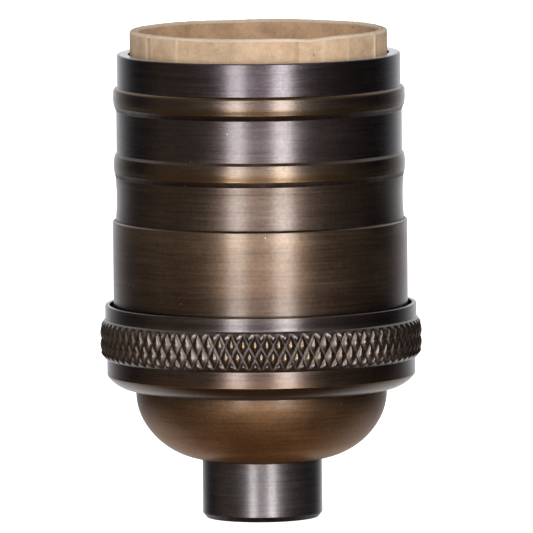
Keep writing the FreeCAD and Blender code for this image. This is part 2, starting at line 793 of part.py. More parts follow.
def make_rivet(label, across, along, tail, underside, head_seat):
    """A round-headed rivet along Z. The tail is spread under the level called underside."""
    body = new_body(label)
    turned(body, [
        ("0", f"{underside} - {tail}"),
        ("rivet_tail_radius", f"{underside} - {tail}"),
        ("rivet_tail_radius", underside),
        ("rivet_shank_radius", underside),
        ("rivet_shank_radius", head_seat),
        ("rivet_head_radius", head_seat, arc_over("2 * rivet_head_radius", "rivet_head_height")),
        ("0", f"{head_seat} + rivet_head_height"),
    ])
    body.Placement = Placement(Vector(value(across), value(along), 0), Rotation())
    bind(body, "Placement.Base.x", across)
    bind(body, "Placement.Base.y", along)
    doc.recompute()
    return body


def make_shell_rivet(label, side):
    along = f"{side} * rivet_along"
    return make_rivet(label, "-rivet_across", along, "shell_rivet_tail", "base_top", "screw_shell_floor")


def make_contact_rivet():
    return make_rivet(
        "contact_rivet", "contact_across", "contact_along", "contact_rivet_tail", "strap_bottom", "leaf_top",
    )


def eased(share):
    share = min(max(share, 0.0), 1.0)
    return share * share * (3 - 2 * share)


def rolled_circle(level, grow):
    """One level of the rolled thread. At any level a rolled thread is a circle set off its axis,
    and the way that it is set off turns once with each pitch."""
    pitch = sheet.lamp_thread_pitch
    half = sheet.lamp_thread_depth / 2
    above_rim = level - value("screw_shell_rim")
    below_lip = value("screw_shell_lip") - level
    run_in = eased(above_rim / (pitch / 2))
    run_out = eased(below_lip / (pitch / 2))
    offset = half * min(run_in, run_out)
    radius = value("lamp_minor_radius") + half * run_in + half * (1 - run_out)
    turn = 2 * math.pi * above_rim / pitch
    centre = Vector(offset * math.cos(turn), offset * math.sin(turn), level)
    circle = Part.Circle(centre, Vector(0, 0, 1), radius + grow)
    return Part.Wire(circle.toShape())


def rolled_solid(grow):
    """A solid core inside one face of the sheet, from the plain foot to the plain lip."""
    low = value("screw_shell_rim")
    high = value("screw_shell_lip")
    steps = int(round((high - low) / sheet.lamp_thread_pitch * sheet.thread_steps))
    levels = [low + (high - low) * number / steps for number in range(steps + 1)]
    return Part.makeLoft([rolled_circle(level, grow) for level in levels], True, True)


def make_screw_shell():
    """A drawn cup of sheet with the lamp's thread rolled into its wall, below a plain lip."""
    cup = new_body("screw_shell_cup")
    outside = "lamp_minor_radius + screw_shell_sheet"
    corner = "(screw_shell_corner + screw_shell_sheet)"
    turned(cup, [
        ("0", "block_top"),
        (f"{outside} - {corner}", "block_top", corner),
        (outside, f"block_top + {corner}"),
        (outside, "screw_shell_rim"),
        ("lamp_minor_radius", "screw_shell_rim"),
        ("lamp_minor_radius", "screw_shell_floor + screw_shell_corner", "-screw_shell_corner"),
        ("lamp_minor_radius - screw_shell_corner", "screw_shell_floor"),
        ("0", "screw_shell_floor"),
    ])
    for side in (-1, 1):
        rivet_hole = new_sketch(cup, "XY_Plane", "block_top")
        draw_circle(rivet_hole, "-rivet_across", f"{side} * rivet_along", "rivet_shank_radius + fit_gap")
        cut(cup, rivet_hole, "screw_shell_sheet", reverse=True)
    window = new_sketch(cup, "XY_Plane", "block_top")
    draw_circle(window, "contact_across", "contact_along", "contact_boss_radius + fit_gap")
    cut(cup, window, "screw_shell_sheet", reverse=True)
    lip = new_body("screw_shell_lip")
    turned(lip, [
        ("lamp_major_radius", "screw_shell_lip"),
        ("lamp_major_radius + screw_shell_sheet", "screw_shell_lip"),
        ("lamp_major_radius + screw_shell_sheet", "screw_shell_top"),
        ("lamp_major_radius", "screw_shell_top"),
    ])
    wall = doc.addObject("Part::Feature", "screw_shell_wall")
    wall.Shape = rolled_solid(sheet.screw_shell_sheet).cut(rolled_solid(0.0))
    shell = doc.addObject("Part::MultiFuse", "screw_shell")
    shell.Shapes = [cup, wall, lip]
    shell.Label = "screw_shell"
    doc.recompute()
    return shell


def make_floor_insulator():
    """A fibre disc on the floor of the screw shell, with holes that clear the rivet heads."""
    body = new_body("floor_insulator")
    disc = new_sketch(body, "XY_Plane", "screw_shell_floor")
    draw_circle(disc, "0", "0", "lamp_minor_radius - screw_shell_corner - fit_gap")
    pad(body, disc, "insulator_thickness")
    for across, along, radius in (
        ("-rivet_across", "rivet_along", "rivet_head_radius + rivet_head_gap"),
        ("-rivet_across", "-rivet_along", "rivet_head_radius + rivet_head_gap"),
        ("contact_across", "contact_along", "rivet_shank_radius + fit_gap"),
    ):
        hole = new_sketch(body, "XY_Plane", "screw_shell_floor")
        draw_circle(hole, across, along, radius)
        cut(body, hole, "insulator_thickness", reverse=True)
    return body


def make_centre_contact():
    """A spring leaf: a riveted pad, a rising arm, a crest on the axis and a tip turned down.
    It is drawn along X, then turned round Z to its rivet."""
    body = new_body("centre_contact")
    sketch = new_sketch(body, "XZ_Plane")
    pad_end = "contact_circle + leaf_pad"
    bend = "contact_circle - leaf_pad"
    crest = "(insulator_top + leaf_rise - leaf_crest_fall)"
    tip = "(insulator_top + leaf_rise - leaf_tip_drop)"
    draw_outline(sketch, [
        (pad_end, "insulator_top"),
        (pad_end, "leaf_top"),
        (bend, "leaf_top"),
        ("leaf_crest", f"{crest} + leaf_thickness", "leaf_crest_curve"),
        ("-leaf_crest", f"{crest} + leaf_thickness"),
        ("-leaf_tip", f"{tip} + leaf_thickness"),
        ("-leaf_tip", tip),
        ("-leaf_crest", crest, "-leaf_crest_curve"),
        ("leaf_crest", crest),
        (f"{bend} - leaf_thickness / 2", "insulator_top"),
    ])
    pad(body, sketch, "2 * leaf_half_width", both_ways=True)
    hole = new_sketch(body, "XY_Plane", "insulator_top")
    draw_circle(hole, "contact_circle", "0", "rivet_shank_radius + fit_gap")
    cut(body, hole, "leaf_thickness", reverse=True)
    body.Placement = Placement(Vector(), Rotation(Vector(0, 0, 1), sheet.contact_angle))
    bind(body, "Placement.Rotation.Angle", "contact_angle")
    doc.recompute()
    return body


def write_parts(parts):
    """Check the whole document, then write each sub-part to a file of its own name."""
    doc.recompute()
    for feature in doc.Objects:
        if "Invalid" in feature.State or "Error" in feature.State:
            raise RuntimeError(f"{feature.Label} failed: {feature.State}")
    for part in parts:
        if part.Shape.isNull() or not part.Shape.isValid():
            raise RuntimeError(f"{part.Label} has no valid shape")
    os.makedirs("parts", exist_ok=True)
    for part in parts:
        part.Shape.exportStep(f"parts/{part.Label}.step")
        print(f"{part.Label:22s} {len(part.Shape.Solids)} solid {part.Shape.Volume:9.1f} mm3")


write_parts([
    make_cap(),
    make_set_screw(),
    make_cap_dish(),
    make_ring(),
    make_outer_shell(),
    make_liner(),
    *make_interior(),
    make_hot_strap(),
    make_neutral_strap(),
    make_terminal_screw("hot_terminal_screw", 1),
    make_terminal_screw("neutral_terminal_screw", -1),
    make_screw_shell(),
    make_floor_insulator(),
    make_centre_contact(),
    make_shell_rivet("shell_rivet_left", -1),
    make_shell_rivet("shell_rivet_right", 1),
    make_contact_rivet(),
])
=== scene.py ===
import bmesh
import bpy
import json
import math
from mathutils import Matrix, Vector, noise


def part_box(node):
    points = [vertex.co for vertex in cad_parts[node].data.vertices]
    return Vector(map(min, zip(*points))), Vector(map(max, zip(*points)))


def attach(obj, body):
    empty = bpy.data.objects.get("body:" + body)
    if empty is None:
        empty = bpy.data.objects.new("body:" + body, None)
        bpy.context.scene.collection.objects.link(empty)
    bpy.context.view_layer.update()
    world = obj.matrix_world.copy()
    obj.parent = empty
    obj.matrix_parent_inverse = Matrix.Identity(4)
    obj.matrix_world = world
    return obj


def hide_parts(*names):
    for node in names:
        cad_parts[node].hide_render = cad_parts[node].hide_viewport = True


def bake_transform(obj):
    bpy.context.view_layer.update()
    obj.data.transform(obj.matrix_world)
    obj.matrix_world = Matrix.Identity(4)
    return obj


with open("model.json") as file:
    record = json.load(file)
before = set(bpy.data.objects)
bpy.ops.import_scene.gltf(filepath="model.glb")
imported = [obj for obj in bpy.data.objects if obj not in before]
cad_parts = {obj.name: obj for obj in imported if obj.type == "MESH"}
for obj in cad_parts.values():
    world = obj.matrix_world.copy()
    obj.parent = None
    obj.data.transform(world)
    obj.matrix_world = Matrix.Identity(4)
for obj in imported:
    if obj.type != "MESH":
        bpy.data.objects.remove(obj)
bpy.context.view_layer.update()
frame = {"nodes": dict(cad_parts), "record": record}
print("frame loaded:", len(frame["nodes"]), "nodes")

mm = 0.001
fullTurn = 2 * math.pi
turning = {
    "segments": 192, "arcSteps": 4, "support": 0.04, "fade": 0.25,
    "arcShare": 0.45, "supportShare": 0.5,  # of an edge, for an arc's reach and for the points beside it
}
threadForm = {"steepness": 1.35, "crest": 0.12, "nearness": 0.002}


def cadSize(node):  # radius along X, then lowest and highest level, in millimetres
    low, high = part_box(node)
    return high[0] / mm, low[2] / mm, high[2] / mm


def eased(share):
    share = min(max(share, 0.0), 1.0)
    return share * share * (3 - 2 * share)


# An outline is a list of (radius, level, rubbing and shade) points in millimetres. The value is 1 on a rubbed
# edge and below 0 in a corner that is painted darker: some grime, and painted shade where shade falls.

def arcPoints(centre, first, last, steps):
    start = math.atan2(first.y, first.x)
    sweep = (math.atan2(last.y, last.x) - start + math.pi) % fullTurn - math.pi
    angles = [start + sweep * k / steps for k in range(steps + 1)]
    return [centre + Vector((math.cos(a), math.sin(a))) * first.length for a in angles]


def bowed(start, end, rise, steps=8, wear=0.0):
    # corners along an arc that stands rise to the right of the way from start to end
    start, end = Vector(start), Vector(end)
    chord = end - start
    radius = (chord.length_squared / 4 + rise * rise) / (2 * abs(rise))
    right = Vector((chord.y, -chord.x)).normalized() * math.copysign(1, rise)
    centre = (start + end) / 2 - right * (radius - abs(rise))
    points = arcPoints(centre, start - centre, end - centre, steps)
    return [(p.x, p.y, 0, wear) for p in points]


def graded(corners, low, high):
    # the same corners, with a rubbing-and-shade value that goes from low to high along them
    last = len(corners) - 1
    return [
        (x, z, rounding, low + (high - low) * k / last)
        for k, (x, z, rounding, _) in enumerate(corners)]


def softened(corners):
    # corners are (radius, level, rounding, rubbing and shade) and may go on with that value just before and
    # just after;
    # each rounded one becomes an arc with support points beside it
    points = []
    for i, (radius, level, rounding, wear, *sides) in enumerate(corners):
        if rounding == 0:
            points.append((radius, level, wear))
            continue
        wearAndShadeBefore, wearAndShadeAfter = sides or (0.0, 0.0)
        here = Vector((radius, level))
        before = Vector(corners[i - 1][:2]) - here
        after = Vector(corners[(i + 1) % len(corners)][:2]) - here
        half = before.angle(after) / 2
        longest = min(before.length, after.length) * turning["arcShare"]
        reach = min(rounding / math.tan(half), longest)
        toCentre = (before.normalized() + after.normalized()).normalized() * (reach / math.cos(half))
        centre = here + toCentre
        start, end = here + before.normalized() * reach, here + after.normalized() * reach
        for extra in (turning["fade"], turning["support"]):
            if reach + extra < before.length * turning["supportShare"]:
                spot = here + before.normalized() * (reach + extra)
                points.append((spot.x, spot.y, wearAndShadeBefore))
        arc = arcPoints(centre, start - centre, end - centre, turning["arcSteps"])
        points += [(p.x, p.y, wear) for p in arc]
        for extra in (turning["support"], turning["fade"]):
            if reach + extra < after.length * turning["supportShare"]:
                spot = here + after.normalized() * (reach + extra)
                points.append((spot.x, spot.y, wearAndShadeAfter))
    return points


def threadRows(radius, low, high, pitch, perTurn=8):
    count = int((high - low) / pitch * perTurn)
    return [(radius, low + (high - low) * k / count, 0, 0.0) for k in range(count + 1)]


def spun(outline, segments=turning["segments"], closed=True):
    bm = bmesh.new()
    wearAndShadeLayer = bm.verts.layers.float.new("wear")
    verts = []
    for radius, level, wear in outline:
        verts.append(bm.verts.new((radius * mm, 0, level * mm)))
        verts[-1][wearAndShadeLayer] = wear
    followers = verts[1:] + verts[:1] if closed else verts[1:]
    edges = [bm.edges.new(pair) for pair in zip(verts, followers)]
    bmesh.ops.spin(
        bm, geom=verts + edges, cent=(0, 0, 0), axis=(0, 0, 1), angle=fullTurn, steps=segments,
        use_merge=True)
    bmesh.ops.remove_doubles(bm, verts=bm.verts, dist=1e-7)
    bmesh.ops.recalc_face_normals(bm, faces=bm.faces)
    return bm


def cutThread(bm, radius, low, high, pitch, depth):
    # a V thread of that depth from the given radius, outwards where the depth is below 0
    for vert in bm.verts:
        level = vert.co.z / mm
        across = vert.co.xy.length / mm
        if abs(across - radius) > threadForm["nearness"] or not low <= level <= high:
            continue
        phase = (level / pitch - math.atan2(vert.co.y, vert.co.x) / fullTurn) % 1
        slope = threadForm["steepness"] * (1 - abs(2 * phase - 1))
        groove = min(max(slope - threadForm["crest"], 0), 1)
        share = min(eased((level - low) / pitch), eased((high - level) / pitch))
        vert.co.xy *= (across - depth * groove * share) / across


def sliced(bm, spot, normal, clear=False):
    everything = bm.verts[:] + bm.edges[:] + bm.faces[:]
    bmesh.ops.bisect_plane(bm, geom=everything, plane_co=spot, plane_no=normal, clear_outer=clear)


def finished(bm, name, body, nodes, material, sharp=35, bend=None):
    mesh = bpy.data.meshes.new(name)
    bm.to_mesh(mesh)
    bm.free()
    mesh.shade_smooth()
    mesh.set_sharp_from_angle(angle=math.radians(sharp))
    mesh.materials.append(material)
    piece = bpy.data.objects.new(name, mesh)
    bpy.context.scene.collection.objects.link(piece)
    if bend:
        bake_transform(piece)
    else:
        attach(piece, body)
    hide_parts(*nodes)
    print(f"{name}: {len(mesh.polygons)} faces")
    return piece


# Materials

def addNode(tree, kind, inputs=None, **settings):
    made = tree.nodes.new(kind)
    for key, setting in settings.items():
        setattr(made, key, setting)
    for key, given in (inputs or {}).items():
        if isinstance(given, bpy.types.NodeSocket):
            tree.links.new(given, made.inputs[key])
        else:
            made.inputs[key].default_value = given
    return made


def calc(tree, operation, first, second=0.5, third=0.5, clamp=False):
    inputs = {0: first, 1: second, 2: third}
    return addNode(tree, "ShaderNodeMath", inputs, operation=operation, use_clamp=clamp).outputs[0]


def mixed(tree, share, first, second):
    inputs = {"Factor": share, 6: first, 7: second}
    return addNode(tree, "ShaderNodeMix", inputs, data_type="RGBA").outputs[2]


def scaled(tree, colour, shade):
    inputs = {0: colour, "Scale": shade}
    return addNode(tree, "ShaderNodeVectorMath", inputs, operation="SCALE").outputs[0]


def stretch(tree, given, low, high, newLow=0.0, newHigh=1.0):
    inputs = {"Value": given, "From Min": low, "From Max": high, "To Min": newLow, "To Max": newHigh}
    return addNode(tree, "ShaderNodeMapRange", inputs, clamp=True).outputs[0]


def swing(tree, given, low, high):  # a noise's usual range, mapped to low and high
    return stretch(tree, given, 0.3, 0.7, low, high)


def grainNoise(tree, vector, scale, detail=2.0, roughness=0.5):
    inputs = {"Vector": vector, "Scale": scale, "Detail": detail, "Roughness": roughness}
    return addNode(tree, "ShaderNodeTexNoise", inputs).outputs[0]


def rampNode(tree, factor, stops):  # stops are (position, colour with its alpha)
    made = addNode(tree, "ShaderNodeValToRGB", {0: factor})
    elements = made.color_ramp.elements
    while len(elements) > 1:
        elements.remove(elements[-1])
    elements[0].position, elements[0].color = stops[0]
    for position, colour in stops[1:]:
        elements.new(position).color = colour
    return made.outputs


def axisDistance(tree, parts):
    squares = calc(tree, "MULTIPLY_ADD", parts[0], parts[0], calc(tree, "MULTIPLY", parts[1], parts[1]))
    return calc(tree, "SQRT", squares)


def frontShare(tree, parts):
    # the way round from the back over the front to the back again as 0 to 1, with -Y at 0.5 and +X at 0.75
    away = calc(tree, "ARCTAN2", parts[0], calc(tree, "MULTIPLY", parts[1], -1.0))
    return calc(tree, "MULTIPLY_ADD", away, 1 / fullTurn, 0.5)


def creaseRamp(tree, around, creases):
    stops = [(0.0, (0, 0, 0, 1))]
    for where, half, strength in creases:
        for degrees, amount in ((where - half, 0), (where, strength), (where + half, 0)):
            stops.append((degrees / 360 + 0.5, (amount, amount, amount, 1)))
    return rampNode(tree, around, stops)[0]


def newGroup(name, inputs, outputs):
    group = bpy.data.node_groups.new(name, "ShaderNodeTree")
    for label, kind, default in inputs:
        group.interface.new_socket(label, in_out="INPUT", socket_type=kind).default_value = default
    for label, kind in outputs:
        group.interface.new_socket(label, in_out="OUTPUT", socket_type=kind)
    return group, group.nodes.new("NodeGroupInput"), group.nodes.new("NodeGroupOutput")


def makeTurningGroup():
    # fine rings left by the lathe, seen as thin lines round the axis, with slow changes along them
    group, given, result = newGroup(
        "turningLines",
        [("Lines per metre", "NodeSocketFloat", 2500.0), ("Change along", "NodeSocketFloat", 60.0)],
        [("Lines", "NodeSocketFloat")])
    place = addNode(group, "ShaderNodeTexCoord").outputs["Object"]
    parts = addNode(group, "ShaderNodeSeparateXYZ", {0: place}).outputs
    alongOutline = calc(group, "MULTIPLY_ADD", axisDistance(group, parts), 0.6, parts[2])
    vector = addNode(group, "ShaderNodeCombineXYZ", {
        0: calc(group, "MULTIPLY", parts[0], given.outputs[1]),
        1: calc(group, "MULTIPLY", parts[1], given.outputs[1]),
        2: calc(group, "MULTIPLY", alongOutline, given.outputs[0])}).outputs[0]
    group.links.new(grainNoise(group, vector, 1.0, 3.0, 0.6), result.inputs[0])
    return group


def makeWearAndShadeGroup():
    # rubbed zones, and corners painted dark with grime and painted shade, from the piece's own
    # rubbing-and-shade values, broken up by noise
    group, given, result = newGroup(
        "edgeWearAndShade",
        [("Amount", "NodeSocketFloat", 1.0), ("Grain", "NodeSocketFloat", 900.0)],
        [("Rubbed", "NodeSocketFloat"), ("Dirt", "NodeSocketFloat")])
    place = addNode(group, "ShaderNodeTexCoord").outputs["Object"]
    wear = addNode(group, "ShaderNodeAttribute", attribute_name="wear").outputs["Fac"]
    patches = grainNoise(group, place, given.outputs[1], 3.0, 0.6)
    slow = grainNoise(group, place, 160.0, 2.0)
    broken = stretch(group, calc(group, "MULTIPLY_ADD", patches, 0.8, slow), 0.55, 1.1, 0.75, 1.2)
    strength = calc(group, "MULTIPLY", calc(group, "MAXIMUM", wear, 0.0), given.outputs[0])
    group.links.new(calc(group, "MULTIPLY", strength, broken, clamp=True), result.inputs[0])
    unevenDirtAndShade = stretch(group, patches, 0.2, 0.6, 0.6, 1.0)
    dirt = calc(group, "MULTIPLY", stretch(group, wear, 0.0, -1.0), unevenDirtAndShade)
    group.links.new(dirt, result.inputs[1])
    return group


def makeNickGroup():
    # a few tiny bright nicks, each in a cell of its own
    group, given, result = newGroup(
        "brightNicks",
        [("Cells per metre", "NodeSocketFloat", 700.0), ("Share", "NodeSocketFloat", 0.08)],
        [("Nick", "NodeSocketFloat")])
    place = addNode(group, "ShaderNodeTexCoord").outputs["Object"]
    cells = addNode(group, "ShaderNodeTexVoronoi", {"Vector": place, "Scale": given.outputs[0]}).outputs
    chance = addNode(group, "ShaderNodeSeparateXYZ", {0: cells["Color"]}).outputs[0]
    chosen = calc(group, "LESS_THAN", chance, given.outputs[1])
    near = stretch(group, cells["Distance"], 0.11, 0.07)
    group.links.new(calc(group, "MULTIPLY", chosen, near), result.inputs[0])
    return group


turningGroup = makeTurningGroup()
wearAndShadeGroup = makeWearAndShadeGroup()
nickGroup = makeNickGroup()


def groupNode(tree, group, inputs):
    made = tree.nodes.new("ShaderNodeGroup")
    made.node_tree = group
    for key, given in inputs.items():
        made.inputs[key].default_value = given
    return made


def newMaterial(name, constants):
    material = bpy.data.materials.new(name)
    material.use_nodes = True
    shader = material.node_tree.nodes["Principled BSDF"]
    for key, given in constants.items():
        shader.inputs[key].default_value = given
    return material, material.node_tree, shader


def raised(tree, shader, height, depth):
    bump = addNode(tree, "ShaderNodeBump", {"Strength": 1.0, "Distance": depth, "Height": height})
    tree.links.new(bump.outputs[0], shader.inputs["Normal"])


def makeAgedBronze():
    # the finish is (level in millimetres, colour, roughness) for neck, bowl, collar, knurl, rim, base, waist,
    # low bead, plain part, high bead and top; the turned lines are (level, height)
    look = {
        "finish": [
            (0.0, 0.094, 0.084, 0.088, 0.33), (6.8, 0.104, 0.097, 0.100, 0.35),
            (7.3, 0.290, 0.130, 0.038, 0.51), (11.0, 0.215, 0.112, 0.050, 0.52),
            (15.2, 0.124, 0.075, 0.045, 0.47),
            (16.0, 0.075, 0.042, 0.028, 0.34), (18.9, 0.074, 0.048, 0.040, 0.29),
            (19.2, 0.122, 0.096, 0.082, 0.31), (23.8, 0.122, 0.098, 0.086, 0.31),
            # the rim is painted lighter near its bottom and top edges and darkest in the middle: rubbed
            # patina, and partly a painted highlight of a hollow that the straight rim lacks
            (24.0, 0.070, 0.056, 0.054, 0.28), (24.5, 0.040, 0.031, 0.034, 0.28),
            (25.3, 0.072, 0.056, 0.052, 0.28),
            (25.8, 0.070, 0.045, 0.031, 0.36), (29.0, 0.108, 0.069, 0.045, 0.39),
            (33.5, 0.124, 0.082, 0.053, 0.38), (35.3, 0.140, 0.096, 0.064, 0.35),
            (35.7, 0.076, 0.053, 0.042, 0.34), (40.6, 0.084, 0.058, 0.042, 0.34),
            (40.9, 0.100, 0.072, 0.056, 0.29), (43.4, 0.092, 0.070, 0.058, 0.28),
            (43.7, 0.064, 0.050, 0.052, 0.28), (48.4, 0.062, 0.049, 0.052, 0.28),
            (48.8, 0.082, 0.063, 0.056, 0.26), (51.2, 0.078, 0.061, 0.056, 0.26),
            (51.5, 0.052, 0.041, 0.048, 0.26), (55.1, 0.052, 0.041, 0.048, 0.26),
        ],
        "lines": [
            (0.0, 0.5), (36.1, 0.5), (36.25, 1.0), (36.4, 0.5), (39.65, 0.5), (39.8, 0.0), (39.95, 0.5),
            (58.0, 0.5)],
        "brown": (0.125, 0.074, 0.032, 1), "brass": (0.50, 0.33, 0.14, 1),
        "dirt": (0.016, 0.008, 0.007, 1), "nick": (0.6, 0.55, 0.46, 1), "flat": (0.56, 0.53, 0.56, 1),
        "flatLevel": 0.0551, "flatRadius": 0.01655, "flatEdge": 0.0001,
        "top": 58.2,
        "fineLines": 4200.0, "broadLines": 800.0, "lineDepth": 0.0000035,
        "wearAndShadeGrain": 1100.0, "nickCells": 1600.0, "nickShare": 0.02,
        "cloudScale": 110.0, "mottleScale": 2600.0,
        "dirtAndShadeRoughness": 0.25,
    }
    constants = {"Metallic": 1.0, "Coat Roughness": 0.22, "Coat IOR": 1.5}
    material, tree, shader = newMaterial("agedBronze", constants)
    place = addNode(tree, "ShaderNodeTexCoord").outputs["Object"]
    parts = addNode(tree, "ShaderNodeSeparateXYZ", {0: place}).outputs
    share = calc(tree, "DIVIDE", parts[2], look["top"] * mm)
    levels = [(z / look["top"], (r, g, b, rough)) for z, r, g, b, rough in look["finish"]]
    finish = rampNode(tree, share, levels)
    lines = rampNode(tree, share, [(z / look["top"], (h, h, h, 1)) for z, h in look["lines"]])[0]
    fine, broad = (
        groupNode(tree, turningGroup, {"Lines per metre": look[kind], "Change along": along}).outputs[0]
        for kind, along in (("fineLines", 150.0), ("broadLines", 40.0)))
    wear = groupNode(tree, wearAndShadeGroup, {"Amount": 1.0, "Grain": look["wearAndShadeGrain"]}).outputs
    nick = groupNode(tree, nickGroup, {"Cells per metre": look["nickCells"], "Share": look["nickShare"]})
    cloud = grainNoise(tree, place, look["cloudScale"], 4.0, 0.55)
    mottle = grainNoise(tree, place, look["mottleScale"], 2.0, 0.6)
    shade = stretch(tree, calc(tree, "MULTIPLY_ADD", broad, 0.8, cloud), 0.55, 1.25, 0.76, 1.24)
    shade = calc(tree, "MULTIPLY", shade, swing(tree, fine, 0.8, 1.2))
    shade = calc(tree, "MULTIPLY", shade, swing(tree, mottle, 0.86, 1.14))
    colour = scaled(tree, finish[0], shade)
    colour = mixed(tree, stretch(tree, wear["Rubbed"], 0.0, 0.55), colour, look["brown"])
    colour = mixed(tree, stretch(tree, wear["Rubbed"], 0.6, 1.0), colour, look["brass"])
    # the dark corners, grooves and undersides: some grime, and painted shade where shade falls
    colour = mixed(tree, wear["Dirt"], colour, look["dirt"])
    colour = mixed(tree, nick.outputs[0], colour, look["nick"])
    # the flat top face of the shell is painted a light lilac: a painted highlight of the face that looks up
    above = stretch(tree, parts[2], look["flatLevel"], look["flatLevel"] + look["flatEdge"])
    flatInner = look["flatRadius"] - look["flatEdge"]
    inside = stretch(tree, axisDistance(tree, parts), look["flatRadius"], flatInner)
    colour = mixed(tree, calc(tree, "MULTIPLY", above, inside), colour, look["flat"])
    tree.links.new(colour, shader.inputs["Base Color"])
    uneven = calc(tree, "ADD", swing(tree, cloud, -0.05, 0.05), swing(tree, fine, -0.03, 0.03))
    uneven = calc(tree, "MULTIPLY_ADD", wear["Dirt"], look["dirtAndShadeRoughness"], uneven)
    tree.links.new(calc(tree, "ADD", finish[1], uneven), shader.inputs["Roughness"])
    # the lacquer is thinner on rough and rubbed metal, and in the corners painted dark with grime and painted
    # shade
    covered = calc(tree, "MULTIPLY", swing(tree, fine, 0.75, 1.0), swing(tree, mottle, 0.8, 1.0))
    for thinning in (
            stretch(tree, finish[1], 0.36, 0.48, 1.0, 0.3),
            stretch(tree, wear["Rubbed"], 0.0, 1.0, 1.0, 0.4),
            stretch(tree, wear["Dirt"], 0.0, 1.0, 1.0, 0.2)):
        covered = calc(tree, "MULTIPLY", covered, thinning)
    tree.links.new(covered, shader.inputs["Coat Weight"])
    height = calc(tree, "MULTIPLY_ADD", broad, 0.6, calc(tree, "MULTIPLY_ADD", lines, 5.0, fine))
    raised(tree, shader, height, look["lineDepth"])
    return material


def makeBoard():
    # creases are (degrees from the front towards +X, half width in degrees, strength), on the outer face; the
    # light ones are painted highlights on the ridges and the dark ones painted shade beside them
    look = {
        "face": (0.325, 0.228, 0.142, 1), "fleck": (0.225, 0.142, 0.078, 1), "rim": (0.34, 0.265, 0.19, 1),
        "stain": (0.07, 0.032, 0.016, 1), "inside": (0.36, 0.225, 0.13, 1),
        "light": (0.52, 0.41, 0.28, 1), "dark": (0.13, 0.08, 0.045, 1),
        "paintedHighlightCreases": [
            (-128, 0.8, 0.6), (-59.9, 1.1, 1), (-38.9, 0.9, 0.7), (29.8, 0.5, 0.4), (43.3, 0.6, 0.45),
            (63.1, 1.2, 1)],
        "paintedShadeCreases": [
            (-57.6, 1.0, 0.65), (-37.3, 0.8, 0.3), (-5.2, 0.5, 0.35), (17.2, 0.9, 0.6), (66.2, 1.0, 0.3)],
        "outside": 0.01475, "outsideEdge": 0.0002, "wander": 0.0012,
        "pulpScale": 420.0, "fibreScale": 3200.0, "cloudScale": 120.0, "speckScale": 1100.0,
        "relief": 0.00006,
    }
    material, tree, shader = newMaterial("woundBoard", {"Metallic": 0.0, "Roughness": 0.72})
    place = addNode(tree, "ShaderNodeTexCoord").outputs["Object"]
    parts = addNode(tree, "ShaderNodeSeparateXYZ", {0: place}).outputs
    outer = stretch(tree, axisDistance(tree, parts), look["outside"] - look["outsideEdge"], look["outside"])
    wander = swing(tree, grainNoise(tree, place, 300.0, 2.0), -look["wander"], look["wander"])
    around = calc(tree, "ADD", frontShare(tree, parts), wander)
    light, dark = (creaseRamp(tree, around, look[kind]) for kind in ("paintedHighlightCreases", "paintedShadeCreases"))
    wear = addNode(tree, "ShaderNodeAttribute", attribute_name="wear").outputs["Fac"]
    pulp = grainNoise(tree, place, look["pulpScale"], 5.0, 0.65)
    fibres = grainNoise(tree, place, look["fibreScale"], 3.0, 0.7)
    cloud = grainNoise(tree, place, look["cloudScale"], 3.0)
    specks = grainNoise(tree, place, look["speckScale"], 1.0)
    face = mixed(tree, outer, look["inside"], look["face"])
    colour = mixed(tree, stretch(tree, pulp, 0.42, 0.75), face, look["fleck"])
    # along the creases: painted highlights, then painted shade
    colour = mixed(tree, calc(tree, "MULTIPLY", outer, light), colour, look["light"])
    colour = mixed(tree, calc(tree, "MULTIPLY", outer, dark), colour, look["dark"])
    colour = mixed(tree, stretch(tree, wear, 0.3, 0.9), colour, look["rim"])
    colour = mixed(tree, stretch(tree, specks, 0.76, 0.8), colour, look["stain"])
    shade = stretch(tree, calc(tree, "MULTIPLY_ADD", fibres, 0.9, cloud), 0.6, 1.3, 0.78, 1.2)
    tree.links.new(scaled(tree, colour, shade), shader.inputs["Base Color"])
    height = calc(tree, "MULTIPLY_ADD", fibres, 0.5, calc(tree, "MULTIPLY_ADD", dark, -1.0, pulp))
    raised(tree, shader, height, look["relief"])
    return material


def makeMetal(name, colour, dull, rough, grain):
    # plain sheet and turned parts: a colour that dulls in clouds, with a fine grain
    material, tree, shader = newMaterial(name, {"Metallic": 1.0})
    place = addNode(tree, "ShaderNodeTexCoord").outputs["Object"]
    cloud = grainNoise(tree, place, 260.0, 4.0, 0.6)
    lines = groupNode(tree, turningGroup, {"Lines per metre": grain, "Change along": 120.0}).outputs[0]
    tree.links.new(mixed(tree, stretch(tree, cloud, 0.4, 0.68), colour, dull), shader.inputs["Base Color"])
    tree.links.new(swing(tree, cloud, rough - 0.06, rough + 0.12), shader.inputs["Roughness"])
    raised(tree, shader, lines, 0.000003)
    return material


def makeMoulded(name, colour, fleck, rough, bumpDepth, scale):
    # moulded resin and pressed fibre: fine flecks and a slight unevenness
    material, tree, shader = newMaterial(name, {"Metallic": 0.0})
    place = addNode(tree, "ShaderNodeTexCoord").outputs["Object"]
    flecks = grainNoise(tree, place, scale, 4.0, 0.6)
    slow = grainNoise(tree, place, 150.0, 2.0)
    speckled = mixed(tree, stretch(tree, flecks, 0.5, 0.68), colour, fleck)
    tree.links.new(speckled, shader.inputs["Base Color"])
    tree.links.new(swing(tree, slow, rough - 0.06, rough + 0.08), shader.inputs["Roughness"])
    raised(tree, shader, flecks, bumpDepth)
    return material


